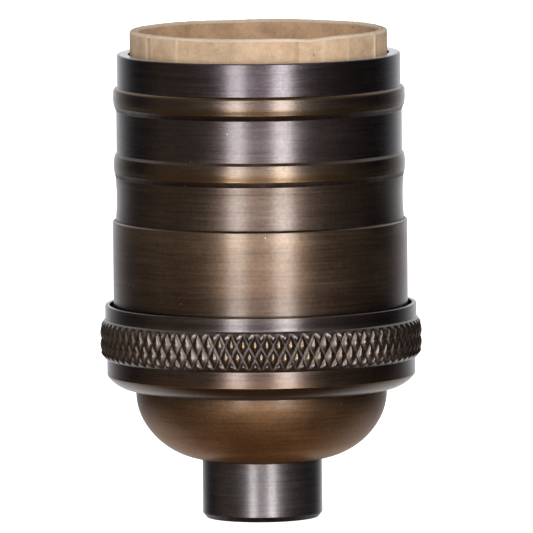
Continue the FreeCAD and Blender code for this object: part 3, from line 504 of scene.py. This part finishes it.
agedBronze = makeAgedBronze()
woundBoard = makeBoard()
sheetBrass = makeMetal("sheetBrass", (0.78, 0.56, 0.27, 1), (0.55, 0.36, 0.16, 1), 0.24, 1500.0)
springBronze = makeMetal("springBronze", (0.74, 0.47, 0.26, 1), (0.55, 0.32, 0.16, 1), 0.26, 2500.0)
nickel = makeMetal("nickelPlate", (0.66, 0.63, 0.58, 1), (0.5, 0.46, 0.41, 1), 0.22, 2000.0)
blackSteel = makeMetal("blackSteel", (0.2, 0.19, 0.185, 1), (0.1, 0.09, 0.085, 1), 0.36, 2000.0)
blackResin = makeMoulded(
    "blackResin", (0.018, 0.016, 0.015, 1), (0.03, 0.026, 0.023, 1), 0.28, 0.000004, 900.0)
greyFibre = makeMoulded(
    "greyFibre", (0.085, 0.07, 0.06, 1), (0.15, 0.125, 0.105, 1), 0.62, 0.00002, 1400.0)
print("materials made")


# Outer shell: one turned tube, threaded at its foot

shell = {
    "baseHeight": 15.5, "waistHeight": 5.3, "lowBead": 2.88, "plain": 4.95, "highBead": 2.81,
    "topRise": -0.67, "plainRise": 0.14, "waistRise": 0.28, "beadRise": 0.34, "waistHollow": 0.11,
    "beadFoot": 0.62, "stepSlope": 0.2, "lowCrown": 0.07, "lowFall": 0.1, "lowShoulder": 0.35,
    "highRound": 0.62, "highFall": 0.22, "highShoulder": 0.08,
    "bore": 15.5, "seatBore": 16.2, "seatDepth": 1.5,
    "threadEnd": 24.6, "threadPitch": 0.941, "threadDepth": 0.42,
}


def makeShell():
    base, foot, top = cadSize("outer_shell")
    topRadius = base + shell["topRise"]
    plain = topRadius + shell["plainRise"]
    waist = topRadius + shell["waistRise"]
    bead = plain + shell["beadRise"]
    step = foot + shell["baseHeight"]
    lowBead = step + shell["waistHeight"]
    plainLevel = lowBead + shell["lowBead"]
    highBead = plainLevel + shell["plain"]
    topLevel = highBead + shell["highBead"]
    lowEdge = (bead - shell["lowFall"], plainLevel - shell["lowShoulder"])
    roundFrom = (bead, topLevel - shell["highRound"] - shell["highShoulder"])
    roundTo = (bead - shell["highFall"], topLevel - shell["highShoulder"])
    seat = foot + shell["seatDepth"]
    # values below 0 paint dark the step's groove, the beads' roots and down-facing feet and the ledges above
    # them: painted shade, with some grime
    corners = [
        (shell["seatBore"], foot, 0.1, 0.2),
        (base - 0.3, foot, 0.05, 0.3),
        (base, foot + 0.3, 0, 0.0),
        *threadRows(base, foot + 0.4, shell["threadEnd"], shell["threadPitch"]),
        (base, step, 0.1, 0.3, 0.0, 0.3),
        (waist, step + shell["stepSlope"], 0.03, -1.0, -0.9, -0.3),
        *bowed((waist, step + 0.5), (waist, lowBead - 0.25), -shell["waistHollow"]),
        (waist, lowBead, 0.12, -0.2, 0.0, -0.9),
        (bead - 0.05, lowBead + shell["beadFoot"], 0.2, 0.5, -0.7, 0.6),
        *graded(bowed(
            (bead - 0.03, lowBead + shell["beadFoot"] + 0.25), (lowEdge[0] + 0.01, lowEdge[1] - 0.1),
            shell["lowCrown"]), 0.45, 0.0),
        (*lowEdge, 0.08, 0.45, 0.4, 0.2),
        (plain, plainLevel, 0.03, -0.5, 0.1, 0.0),
        (plain, highBead, 0.12, -0.2, 0.0, -0.9),
        (bead - 0.06, highBead + shell["beadFoot"], 0.2, 0.45, -0.7, 0.5),
        *graded(bowed((bead - 0.03, highBead + shell["beadFoot"] + 0.25), roundFrom, 0.05, 6), 0.42, 0.0),
        *graded(bowed(roundFrom, roundTo, 0.09, 6), 0.0, 0.6),
        (topRadius, topLevel, 0.03, -0.5, 0.2, 0.0),
        (topRadius, top, 0.22, 0.0),
        (shell["bore"], top, 0.06, 0.0),
        (shell["bore"], seat, 0.05, 0.0),
        (shell["seatBore"], seat, 0.05, 0.0),
    ]
    bm = spun(softened(corners))
    cutThread(bm, base, foot + 0.3, shell["threadEnd"], shell["threadPitch"], shell["threadDepth"])
    return finished(bm, "outerShell", "shell", ["outer_shell"], agedBronze)


makeShell()


# Cap: bowl, flange and neck, turned in one piece and bored for a threaded pipe

cap = {
    "bowlLevel": 15.0, "bowlDepth": 8.0, "bowlRadius": 14.9, "sideCurve": 7.0, "underCurve": 9.0,
    "arcSteps": 14,
    "neckRadius": 7.1, "neckEdge": 0.5, "boreRadius": 4.45, "boreEdge": 0.4, "lipTop": 17.6,
    "cavityRadius": 13.5, "cavityFloor": 8.6, "innerCurve": 7.0, "pitch": 0.941, "threadDepth": -0.3,
    "screwLevel": 3.3, "screwHole": 1.75, "drillLength": 6.0, "drillPlace": 6.0,
}


def bowlOutline():
    # two tangent arcs: one down the side and a flatter one in under to the neck
    side, under, depth, level = cap["sideCurve"], cap["underCurve"], cap["bowlDepth"], cap["bowlLevel"]
    sideCentre = Vector((cap["bowlRadius"] - side, level))
    reach = math.sqrt((under - side) ** 2 - (under - depth) ** 2)
    underCentre = Vector((sideCentre.x - reach, level - depth + under))
    join = sideCentre + (sideCentre - underCentre).normalized() * side
    drop = math.sqrt(under ** 2 - (cap["neckRadius"] - underCentre.x) ** 2)
    neck = Vector((cap["neckRadius"], underCentre.y - drop))
    points = arcPoints(underCentre, neck - underCentre, join - underCentre, cap["arcSteps"])
    points += arcPoints(sideCentre, join - sideCentre, Vector((side, 0)), cap["arcSteps"])[1:]
    return points


def makeCap():
    flange, foot, top = cadSize("cap")
    bowl = bowlOutline()
    curve = cap["innerCurve"]
    inner = Vector((cap["cavityRadius"] - curve, cap["cavityFloor"] + curve))
    cavity = arcPoints(inner, Vector((curve, 0)), Vector((0, -curve)), cap["arcSteps"])
    # the neck's chamfer and the corner where the neck meets the bowl are painted dark, fading up the bowl: a
    # painted contact shadow and painted shade, with some grime
    corners = [
        (cap["boreRadius"] + cap["boreEdge"], foot, 0.05, 0.3),
        (cap["neckRadius"] - cap["neckEdge"], foot, 0.04, -0.9, -0.5, -0.9),
        (cap["neckRadius"], foot + 0.6, 0.05, -0.6, -0.9, 0.0),
        (bowl[0].x, bowl[0].y, 0.06, -1.0, -0.2, -0.9),
        *[(p.x, p.y, 0, -0.7 * (1 - k / 5) if k < 5 else 0.0) for k, p in enumerate(bowl[1:])],
        (cap["bowlRadius"], cap["lipTop"], 0.05, -0.2),
        (flange, cap["lipTop"], 0.1, 0.3),
        (flange, top, 0.1, 0.3),
        (cap["cavityRadius"], top, 0.08, 0.2),
        *[(p.x, p.y, 0, 0.0) for p in cavity],
        (cap["boreRadius"], cap["cavityFloor"], 0.08, 0.2),
        *reversed(threadRows(cap["boreRadius"], foot + 0.6, cap["cavityFloor"] - 0.3, cap["pitch"], 7)),
        (cap["boreRadius"], foot + cap["boreEdge"], 0, 0.0),
    ]
    bm = spun(softened(corners))
    cutThread(bm, cap["boreRadius"], foot + 0.5, cap["cavityFloor"] - 0.2, cap["pitch"], cap["threadDepth"])
    return drilled(bm)


def drilled(bm):
    # the set screw's hole, bored through the back of the neck
    mesh = bpy.data.meshes.new("capTurned")
    bm.to_mesh(mesh)
    bm.free()
    turned = bpy.data.objects.new("capTurned", mesh)
    drillMesh = bpy.data.meshes.new("drill")
    bm = bmesh.new()
    radius = cap["screwHole"] * mm
    bmesh.ops.create_cone(
        bm, cap_ends=True, segments=48, radius1=radius, radius2=radius, depth=cap["drillLength"] * mm)
    bmesh.ops.rotate(bm, verts=bm.verts, cent=(0, 0, 0), matrix=Matrix.Rotation(math.pi / 2, 3, "X"))
    bmesh.ops.translate(bm, verts=bm.verts, vec=(0, cap["drillPlace"] * mm, cap["screwLevel"] * mm))
    bm.to_mesh(drillMesh)
    bm.free()
    drill = bpy.data.objects.new("drill", drillMesh)
    for made in (turned, drill):
        bpy.context.scene.collection.objects.link(made)
    hole = turned.modifiers.new("hole", "BOOLEAN")
    hole.operation = "DIFFERENCE"
    hole.object = drill
    bpy.context.view_layer.update()
    result = bpy.data.meshes.new_from_object(turned.evaluated_get(bpy.context.evaluated_depsgraph_get()))
    bm = bmesh.new()
    bm.from_mesh(result)
    for made in (turned, drill):
        bpy.data.objects.remove(made)
    return finished(bm, "bowlCap", "cap", ["cap"], agedBronze)


makeCap()


# Knurled ring: a turned body, with a band of rounded diamonds let into its outline

ring = {
    "lipBore": 15.0, "lipRise": 0.3, "cornerRise": 2.0, "collarRadius": 18.30, "collarHeight": 1.95,
    "underside": 4.1, "bandHeight": 4.75, "rimRadius": 18.48, "rimBore": 17.95, "rimDepth": 1.6,
    "threadBore": 17.55, "flangeBore": 16.9, "lipHeight": 2.45, "seat": 19.7, "segments": 168,
    "pitch": 0.941, "threadDepth": -0.3, "sharp": 62,
    "count": 84, "row": 1.45, "rowShift": 0.5, "depth": 0.44, "grooveFloor": 0.028,
    # the third value of each dome step is its rubbing and shade: below 0 the low facets are painted dark, as
    # painted shade with some grime
    "dome": [(0.42, 0.60, -0.45), (0.68, 0.86, 0.25), (0.84, 0.97, 0.6), (0.94, 1.0, 0.75)],  # in, up, wear
    "lowBevel": 0.75, "highBevel": 0.85, "bevelDrop": 0.6, "bevelCut": 0.63,
    "grooveDirtAndShade": -0.8, "bevelWear": 0.0, "gridRows": 5, "gridReach": 1.4,
}


def bevelLimit(level, low, high, tip):
    # the band's two bevels, as the largest radius at a level
    drop = max(1 - (level - low) / ring["lowBevel"], 1 - (high - level) / ring["highBevel"], 0)
    return tip - ring["bevelDrop"] * drop


def makeBand(bm, low, high, tip):
    # one pitch of the band, drawn flat and cut to height, then wrapped and repeated round the axis
    pitch = fullTurn * tip / ring["count"]
    root = tip - ring["depth"]
    rows = ring["gridRows"]
    flat = bmesh.new()
    flatWearAndShade = flat.verts.layers.float.new("wear")
    bmesh.ops.create_grid(flat, x_segments=2 * rows, y_segments=2 * rows, size=rows)
    slant = Matrix(((pitch / 2, -pitch / 2, 0), (ring["row"], ring["row"], 0), (0, 0, 1))).to_4x4()
    bmesh.ops.transform(flat, matrix=slant, verts=flat.verts)
    bmesh.ops.translate(flat, verts=flat.verts, vec=(0, ring["row"] * ring["rowShift"], 0))
    far = [f for f in flat.faces if abs(f.calc_center_median().x) > pitch * ring["gridReach"]]
    bmesh.ops.delete(flat, geom=far, context="FACES")
    tops = list(flat.faces)
    bmesh.ops.inset_individual(flat, faces=tops, thickness=ring["grooveFloor"], use_even_offset=True)
    # the grooves are painted dark: painted shade with some grime
    for vert in flat.verts:
        vert[flatWearAndShade] = ring["grooveDirtAndShade"]
    reach = pitch * ring["row"] / math.hypot(pitch, 2 * ring["row"]) - ring["grooveFloor"]
    done = 0.0
    for inward, upward, wear in ring["dome"]:
        step = reach * (inward - done)
        bmesh.ops.inset_individual(flat, faces=tops, thickness=step, use_even_offset=True)
        done = inward
        for face in tops:
            for vert in face.verts:
                vert.co.z = ring["depth"] * upward
                vert[flatWearAndShade] = wear
    middle = (low + high) / 2
    for side in (1, -1):
        sliced(flat, (side * pitch / 2, 0, 0), (side, 0, 0), clear=True)
    sliced(flat, (0, high - middle, 0), (0, 1, 0), clear=True)
    sliced(flat, (0, low - middle, 0), (0, -1, 0), clear=True)
    for share in (1 - ring["depth"] / ring["bevelDrop"], ring["bevelCut"], 1.0):
        for level in (low + ring["lowBevel"] * share, high - ring["highBevel"] * share):
            sliced(flat, (0, level - middle, 0), (0, 1, 0))
    for vert in flat.verts:
        across, up, rise = vert.co
        angle = across / pitch * fullTurn / ring["count"]
        limit = bevelLimit(up + middle, low, high, tip)
        radius = min(root + rise, limit)
        vert[flatWearAndShade] = vert[flatWearAndShade] if root + rise <= limit else ring["bevelWear"]
        vert.co = Vector((radius * math.cos(angle), radius * math.sin(angle), up + middle)) * mm
    mesh = bpy.data.meshes.new("onePitch")
    flat.to_mesh(mesh)
    flat.free()
    for k in range(ring["count"]):
        before = len(bm.verts)
        bm.from_mesh(mesh)
        bm.verts.ensure_lookup_table()
        turn = Matrix.Rotation(fullTurn * k / ring["count"], 3, "Z")
        bmesh.ops.rotate(bm, verts=bm.verts[before:], cent=(0, 0, 0), matrix=turn)
    bpy.data.meshes.remove(mesh)
    bmesh.ops.remove_doubles(bm, verts=bm.verts, dist=2e-6)


def makeRing():
    tip, lipLevel, ringTop = cadSize("knurled_ring")
    corner = lipLevel + ring["cornerRise"]
    bandLow = corner + ring["collarHeight"]
    bandHigh = bandLow + ring["bandHeight"]
    lipTop = lipLevel + ring["lipHeight"]
    lipFoot = lipLevel + ring["lipRise"]
    start, end = Vector((ring["lipBore"], lipFoot)), Vector((ring["collarRadius"], corner))
    half = (end - start).length / 2
    rise = ring["underside"] - math.sqrt(ring["underside"] ** 2 - half ** 2)
    # the underside is painted dark near the lip, as painted shade with some grime, and rubbed near the corner
    underside = graded(bowed(start + Vector((0.1, 0.01)), end - Vector((0.05, 0.12)), rise, 10), -0.5, 0.25)
    threadBore, threadTop = ring["threadBore"], ringTop - ring["rimDepth"]
    # values below 0 paint dark the corner under the rim, the bore's corner and the corner above the collar:
    # painted shade, with some grime
    corners = [
        (ring["rimRadius"], bandHigh, 0, -0.5),
        (ring["rimRadius"], bandHigh + 0.15, 0, 0.0),
        (ring["rimRadius"], ringTop, 0.16, 0.1, 0.0, 0.0),
        (ring["rimBore"], ringTop, 0.06, 0.0),
        (ring["rimBore"], threadTop, 0.04, -0.8),
        (threadBore, threadTop, 0, 0.0),
        *reversed(threadRows(threadBore, ring["seat"] + 0.3, threadTop - 0.2, ring["pitch"])),
        (threadBore, ring["seat"], 0.04, 0.0),
        (ring["flangeBore"], ring["seat"], 0.04, 0.0),
        (ring["flangeBore"], lipTop, 0.04, 0.0),
        (ring["lipBore"], lipTop, 0.04, 0.0),
        (ring["lipBore"], lipFoot, 0.04, 0.4),
        *underside,
        (ring["collarRadius"], corner, 0.07, 0.75, 0.5, 0.1),
        (ring["collarRadius"], bandLow - 0.15, 0, 0.0),
        (ring["collarRadius"], bandLow, 0, -0.6),
    ]
    bm = spun(softened(corners), ring["segments"], closed=False)
    cutThread(bm, threadBore, ring["seat"] + 0.2, threadTop - 0.1, ring["pitch"], ring["threadDepth"])
    makeBand(bm, bandLow, bandHigh, tip)
    for level in (bandLow, bandHigh):
        rims = [
            edge for edge in bm.edges
            if edge.is_boundary and all(abs(vert.co.z / mm - level) < 0.001 for vert in edge.verts)]
        bmesh.ops.bridge_loops(bm, edges=rims)
    bmesh.ops.recalc_face_normals(bm, faces=bm.faces)
    loose = sum(1 for e in bm.edges if not e.is_manifold)
    print("ring edges left open:", loose)
    return finished(bm, "knurledRing", "ring", ["knurled_ring"], agedBronze, ring["sharp"])


makeRing()


# Board liner: a wound tube with a lapped seam, a few creases and a slightly wavy cut edge

liner = {
    "wall": 1.05, "edge": 0.3, "segments": 384, "wave": 0.07, "ragged": 0.035, "waveReach": 3,
    "unevenOutside": 0.06, "unevenInside": 0.05, "creaseInside": 0.6, "rigidFoot": 6,
    "seam": 17.7, "seamHalf": 0.06, "seamStep": 0.12, "lapReach": 70,  # all but the step in degrees
    "dipPlace": 6, "dipWidth": 7, "dip": 0.16,  # beside the seam, the first two in degrees
    "creases": [  # degrees from the front towards +X, width and height in millimetres
        (-59.2, 0.35, 0.14), (-38.9, 0.9, 0.05), (-5.7, 0.5, 0.025), (29.8, 0.5, 0.03),
        (43.3, 0.5, 0.03), (63.1, 0.35, 0.14), (112.0, 0.6, 0.06), (-128.0, 0.5, 0.05), (171.0, 0.7, 0.05),
    ],
}


def frontAngle(co):  # degrees round from the front, positive towards +X
    return math.degrees(math.atan2(co.x, -co.y))


def linerPush(angle, across, level, radius):
    # how far the wall stands out there: the creases, the lap's step and a slight unevenness
    push = 0.0
    for where, width, height in liner["creases"]:
        away = math.radians((angle - where + 180) % 360 - 180) * radius
        push += height * math.exp(-(away / width) ** 2)
    if across <= radius - liner["wall"] / 2:
        uneven = noise.noise(Vector((angle * 0.03, level * 0.1, 7.0)))
        return push * liner["creaseInside"] - liner["unevenInside"] * uneven
    lap = (angle - liner["seam"]) % 360
    if lap < 180:
        push += liner["seamStep"] * (1 - eased(lap / liner["lapReach"]))
    return push - liner["unevenOutside"] * noise.noise(Vector((angle * 0.03, level * 0.1, 3.0)))


def linerRise(angle, across):
    # how far the cut edge stands up there: slow waves, a ragged cut and a dip beside the seam
    turn = math.radians(angle)
    wave = noise.noise(Vector((math.cos(turn) * 2, math.sin(turn) * 2, 1.0)))
    ragged = noise.noise(Vector((angle * 0.35, across, 5.0)))
    ragged += noise.noise(Vector((angle * 0.9, across, 9.0)))
    dip = math.exp(-((angle - liner["seam"] - liner["dipPlace"]) / liner["dipWidth"]) ** 2) * liner["dip"]
    return wave * liner["wave"] + ragged * liner["ragged"] - dip


def makeLiner():
    radius, foot, top = cadSize("cardboard_liner")
    bore = radius - liner["wall"]
    levels = [foot + 2, foot + 12] + [top - down for down in (8, 5, 3.4, 2.6, 1.8, 1.2, 0.7)]
    corners = [(radius, foot, 0.1, 0.0)]
    corners += [(radius, level, 0, 0.0) for level in levels]
    corners += [(radius, top, liner["edge"], 1.0), (bore, top, liner["edge"], 1.0)]
    corners += [(bore, level, 0, 0.0) for level in reversed(levels)]
    corners += [(bore, foot, 0.1, 0.0)]
    bm = spun(softened(corners), liner["segments"])
    column = 360 / liner["segments"]
    for vert in bm.verts:
        angle = frontAngle(vert.co)
        past = angle - liner["seam"]
        if abs(past) < column / 2 + 0.01 or 0 < past < column * 1.5:
            # two columns close to each other, so that the lap shows as a crisp step
            beside = math.copysign(liner["seamHalf"], past - column / 2)
            turn = math.radians(beside - past)
            vert.co.xy = Matrix.Rotation(turn, 2) @ vert.co.xy
            angle = frontAngle(vert.co)
        across, level = vert.co.xy.length / mm, vert.co.z / mm
        push = linerPush(angle, across, level, radius) * eased((level - foot) / liner["rigidFoot"])
        vert.co.xy *= (across + push) / across
        nearTop = eased((level - top + liner["waveReach"]) / liner["waveReach"])
        vert.co.z += linerRise(angle, across) * nearTop * mm
    return finished(bm, "boardLiner", "shell", ["cardboard_liner"], woundBoard)


makeLiner()


# Screw shell: a drawn cup of sheet brass with the lamp's thread rolled into its wall

screwShell = {
    "sheet": 0.35, "minor": 12.45, "depth": 0.85, "pitch": 3.629, "foot": 2.2, "lip": 2.4, "corner": 1.2,
    "rowsPerTurn": 14, "segments": 144,
}


def makeScrewShell():
    low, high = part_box("screw_shell")
    bottom, top = low[2] / mm, high[2] / mm
    sheet, minor, pitch = screwShell["sheet"], screwShell["minor"], screwShell["pitch"]
    floor = bottom + sheet
    rim, lip = floor + screwShell["foot"], top - screwShell["lip"]
    rows = int((lip - rim) / pitch * screwShell["rowsPerTurn"])
    wall = [rim + (lip - rim) * k / rows for k in range(rows + 1)] + [top - 0.1]
    corners = [(0, bottom, 0, 0.0)]
    corners += [(minor + sheet, bottom, screwShell["corner"] + sheet, 0.0)]
    corners += [(minor + sheet, level, 0, 0.0) for level in wall]
    corners += [(minor + sheet, top, 0, 0.0), (minor, top, 0, 0.0)]
    corners += [(minor, level, 0, 0.0) for level in reversed(wall)]
    corners += [(minor, floor, screwShell["corner"], 0.0), (0, floor, 0, 0.0)]
    bm = spun(softened(corners), screwShell["segments"], closed=False)
    half = screwShell["depth"] / 2
    for vert in bm.verts:
        level = vert.co.z / mm
        across = vert.co.xy.length / mm
        if level < rim - 0.001 or across < minor - 0.01:
            continue
        runIn, runOut = eased((level - rim) / (pitch / 2)), eased((lip - level) / (pitch / 2))
        offset = half * min(runIn, runOut)
        grow = half * runIn + half * (1 - runOut)
        turn = fullTurn * (level - rim) / pitch
        vert.co.xy *= (across + grow) / across
        vert.co.xy += Vector((math.cos(turn), math.sin(turn))) * offset * mm
    return finished(bm, "screwShell", "interior", ["screw_shell"], sheetBrass)


makeScrewShell()


# The other pieces keep their shape, with their corners eased

easing = {
    "interior_body": (0.18, blackResin), "interior_base": (0.15, blackResin),
    "floor_insulator": (0.06, greyFibre), "cap_liner": (0.08, greyFibre),
    "hot_strap": (0.07, sheetBrass), "neutral_strap": (0.07, nickel),
    "hot_terminal_screw": (0.09, sheetBrass), "neutral_terminal_screw": (0.09, nickel),
    "shell_rivet_left": (0.05, sheetBrass), "shell_rivet_right": (0.05, sheetBrass),
    "contact_rivet": (0.05, sheetBrass), "set_screw": (0.06, blackSteel),
    "centre_contact": (0.04, springBronze),
}
easeFrom = math.radians(32)  # an edge turned by more than this is eased
armBend = {  # cuts across the contact's arm, from beside its rivet to near its tip
    "fixedTo": "interior", "start": (0.00304, -0.00304, 0.03232), "end": (0.0011, -0.0011, 0.0345),
    "cuts": 8,
}


def spokenName(node):  # hot_strap becomes hotStrap
    words = node.split("_")
    return words[0] + "".join(word.capitalize() for word in words[1:])


def easedCopy(node, width, material):
    bm = bmesh.new()
    bm.from_mesh(frame["nodes"][node].data)
    bmesh.ops.remove_doubles(bm, verts=bm.verts, dist=1e-6)
    bmesh.ops.dissolve_limit(bm, angle_limit=math.radians(0.6), verts=bm.verts, edges=bm.edges)
    bend = armBend if node == "centre_contact" else None
    if bend:
        start, end = Vector(bend["start"]), Vector(bend["end"])
        for k in range(bend["cuts"] + 1):
            sliced(bm, start.lerp(end, k / bend["cuts"]), (start.x - end.x, start.y - end.y, 0))
    record = frame["record"]
    body = next(name for name, members in record["behaviour"]["bodies"].items() if node in members)
    piece = finished(bm, spokenName(node), body, [node], material, bend=bend)
    bevel = piece.modifiers.new("easing", "BEVEL")
    bevel.width = width * mm
    bevel.segments = 2
    bevel.limit_method = "ANGLE"
    bevel.angle_limit = easeFrom
    bevel.harden_normals = True
    return piece


for node, (width, material) in easing.items():
    easedCopy(node, width, material)
print("inner pieces made")


# Floor, background, lamps and camera

stage = {
    "floorSize": 3.0, "floorTone": 0.6, "floorGlow": 0.82,
    "boxDistance": 1.1, "boxHeight": 1.2, "boxMiddle": 0.31,
    "ambient": (1.0, 1.0, 1.01, 1), "paintedUnderfootShade": (0.12, 0.064, 0.038, 1),
    "high": (0.3, 0.6), "table": (-0.2, -0.4), "steep": (-0.68, -0.92),  # a direction's Z, from none to full
}
softBoxes = [  # direction from the camera's, width in degrees, radiance
    (-18.0, 13.0, 9.2),
    (18.5, 14.0, 10.9),
]
roomLight = [  # degrees from the front towards +X, and what reflections see there
    (-180, 0.80, 0.80, 0.84), (-162, 0.72, 0.72, 0.76), (-143, 0.30, 0.30, 0.31), (-127, 0.05, 0.05, 0.055),
    (-112, 0.02, 0.019, 0.02), (-98, 0.08, 0.062, 0.045), (-88, 0.19, 0.145, 0.10),
    (-45, 0.22, 0.165, 0.12),
    (-9, 0.22, 0.17, 0.13), (-4, 1.1, 0.88, 0.95), (4, 1.1, 0.88, 0.95), (9, 0.22, 0.17, 0.14),
    (40, 0.16, 0.12, 0.09), (68, 0.10, 0.077, 0.06), (90, 0.03, 0.025, 0.02),
    (108, 0.006, 0.005, 0.006), (122, 0.03, 0.03, 0.032), (135, 0.22, 0.22, 0.23), (148, 0.5, 0.5, 0.52),
    (162, 0.80, 0.80, 0.84), (180, 0.80, 0.80, 0.84),
]
tableLight = [  # the same for what lies below
    (-180, 0.8, 0.79, 0.78), (-128, 0.75, 0.74, 0.73), (-105, 0.3, 0.27, 0.25), (-85, 0.14, 0.10, 0.07),
    (-40, 0.11, 0.07, 0.045), (-15, 0.17, 0.11, 0.06), (-6, 0.5, 0.3, 0.14), (6, 0.5, 0.3, 0.14),
    (15, 0.14, 0.09, 0.05), (40, 0.06, 0.045, 0.034),
    (85, 0.08, 0.065, 0.055), (105, 0.2, 0.19, 0.18), (128, 0.6, 0.59, 0.58), (180, 0.8, 0.79, 0.78),
]
highLight = [  # and for what lies above
    (-180, 0.95, 0.94, 0.95), (-125, 0.75, 0.74, 0.75), (-100, 0.3, 0.28, 0.28), (-30, 0.26, 0.23, 0.21),
    (30, 0.26, 0.23, 0.21), (100, 0.3, 0.28, 0.28), (125, 0.75, 0.74, 0.75), (180, 0.95, 0.94, 0.95),
]
cameraPlace = {
    "distance": 1.553, "height": 0.182, "aimX": 0.00072, "aimZ": 0.0298, "roll": 0.53, "frame": 0.06325,
    "sensor": 36,
}


def makeFloor():
    bm = bmesh.new()
    bmesh.ops.create_grid(bm, x_segments=1, y_segments=1, size=stage["floorSize"])
    mesh = bpy.data.meshes.new("floor")
    bm.to_mesh(mesh)
    bm.free()
    floor = bpy.data.objects.new("floor", mesh)
    bpy.context.scene.collection.objects.link(floor)
    material = bpy.data.materials.new("paleFloor")
    material.use_nodes = True
    tree = material.node_tree
    tree.nodes.clear()
    rays = addNode(tree, "ShaderNodeLightPath").outputs
    tone = stage["floorTone"]
    matt = addNode(tree, "ShaderNodeBsdfDiffuse", {"Color": (tone, tone, tone, 1)}).outputs[0]
    strength = calc(tree, "MULTIPLY", rays["Is Camera Ray"], stage["floorGlow"])
    glow = addNode(tree, "ShaderNodeEmission", {"Color": (1, 1, 1, 1), "Strength": strength}).outputs[0]
    both = addNode(tree, "ShaderNodeAddShader", {0: matt, 1: glow}).outputs[0]
    clear = addNode(tree, "ShaderNodeBsdfTransparent").outputs[0]
    through = calc(tree, "MAXIMUM", rays["Is Glossy Ray"], rays["Is Shadow Ray"])
    surface = addNode(tree, "ShaderNodeMixShader", {0: through, 1: both, 2: clear}).outputs[0]
    output = addNode(tree, "ShaderNodeOutputMaterial", {"Surface": surface})
    output.is_active_output = True
    mesh.materials.append(material)


def makeWorld():
    # white to the camera; in reflections a pale backdrop behind the socket, a dim warm room, a lit table and,
    # straight below, a painted shade for the floor in the socket's shadow
    world = bpy.data.worlds.new("studio")
    bpy.context.scene.world = world
    world.use_nodes = True
    tree = world.node_tree
    tree.nodes.clear()
    rays = addNode(tree, "ShaderNodeLightPath").outputs
    toward = addNode(tree, "ShaderNodeTexCoord").outputs["Generated"]
    parts = addNode(tree, "ShaderNodeSeparateXYZ", {0: toward}).outputs
    around = frontShare(tree, parts)
    room, table, high = (
        rampNode(tree, around, [(degrees / 360 + 0.5, (r, g, b, 1)) for degrees, r, g, b in light])[0]
        for light in (roomLight, tableLight, highLight))
    room = mixed(tree, stretch(tree, parts[2], *stage["high"]), room, high)
    room = mixed(tree, stretch(tree, parts[2], *stage["table"]), room, table)
    # straight down, reflections see a painted shade that stands for the floor in the socket's shadow
    room = mixed(tree, stretch(tree, parts[2], *stage["steep"]), room, stage["paintedUnderfootShade"])
    plain = mixed(tree, rays["Is Camera Ray"], stage["ambient"], (1, 1, 1, 1))
    clear = calc(tree, "MAXIMUM", rays["Is Glossy Ray"], rays["Is Transmission Ray"])
    colour = mixed(tree, clear, plain, room)
    background = addNode(tree, "ShaderNodeBackground", {"Color": colour, "Strength": 1.0}).outputs[0]
    addNode(tree, "ShaderNodeOutputWorld", {"Surface": background})


def makeSoftBox(name, degrees, width, radiance):
    lamp = bpy.data.lights.new(name, "AREA")
    lamp.shape = "RECTANGLE"
    lamp.size = 2 * stage["boxDistance"] * math.tan(math.radians(width / 2))
    lamp.size_y = stage["boxHeight"]
    lamp.energy = radiance * math.pi * lamp.size * lamp.size_y
    holder = bpy.data.objects.new(name, lamp)
    bpy.context.scene.collection.objects.link(holder)
    angle = math.radians(degrees)
    place = Vector((math.sin(angle), -math.cos(angle), 0)) * stage["boxDistance"]
    place.z = stage["boxMiddle"]
    holder.location = place
    holder.rotation_euler = (Vector((0, 0, place.z)) - place).to_track_quat("-Z", "Y").to_euler()
    holder.visible_camera = False


def makeCamera():
    data = bpy.data.cameras.new("camera")
    camera = bpy.data.objects.new("camera", data)
    bpy.context.scene.collection.objects.link(camera)
    aim = Vector((cameraPlace["aimX"], 0, cameraPlace["aimZ"]))
    place = Vector((cameraPlace["aimX"], -cameraPlace["distance"], cameraPlace["height"]))
    camera.location = place
    facing = (aim - place).to_track_quat("-Z", "Y").to_matrix()
    roll = Matrix.Rotation(math.radians(-cameraPlace["roll"]), 3, "Z")
    camera.rotation_euler = (facing @ roll).to_euler()
    data.sensor_width = cameraPlace["sensor"]
    data.lens = cameraPlace["sensor"] * (aim - place).length / cameraPlace["frame"]
    data.clip_start = 0.05
    data.clip_end = 20
    bpy.context.scene.camera = camera


makeFloor()
makeWorld()
for number, (degrees, width, radiance) in enumerate(softBoxes):
    makeSoftBox(f"softBox{number}", degrees, width, radiance)
makeCamera()
bpy.context.scene.view_settings.view_transform = "Standard"
print("stage, lamps and camera set")
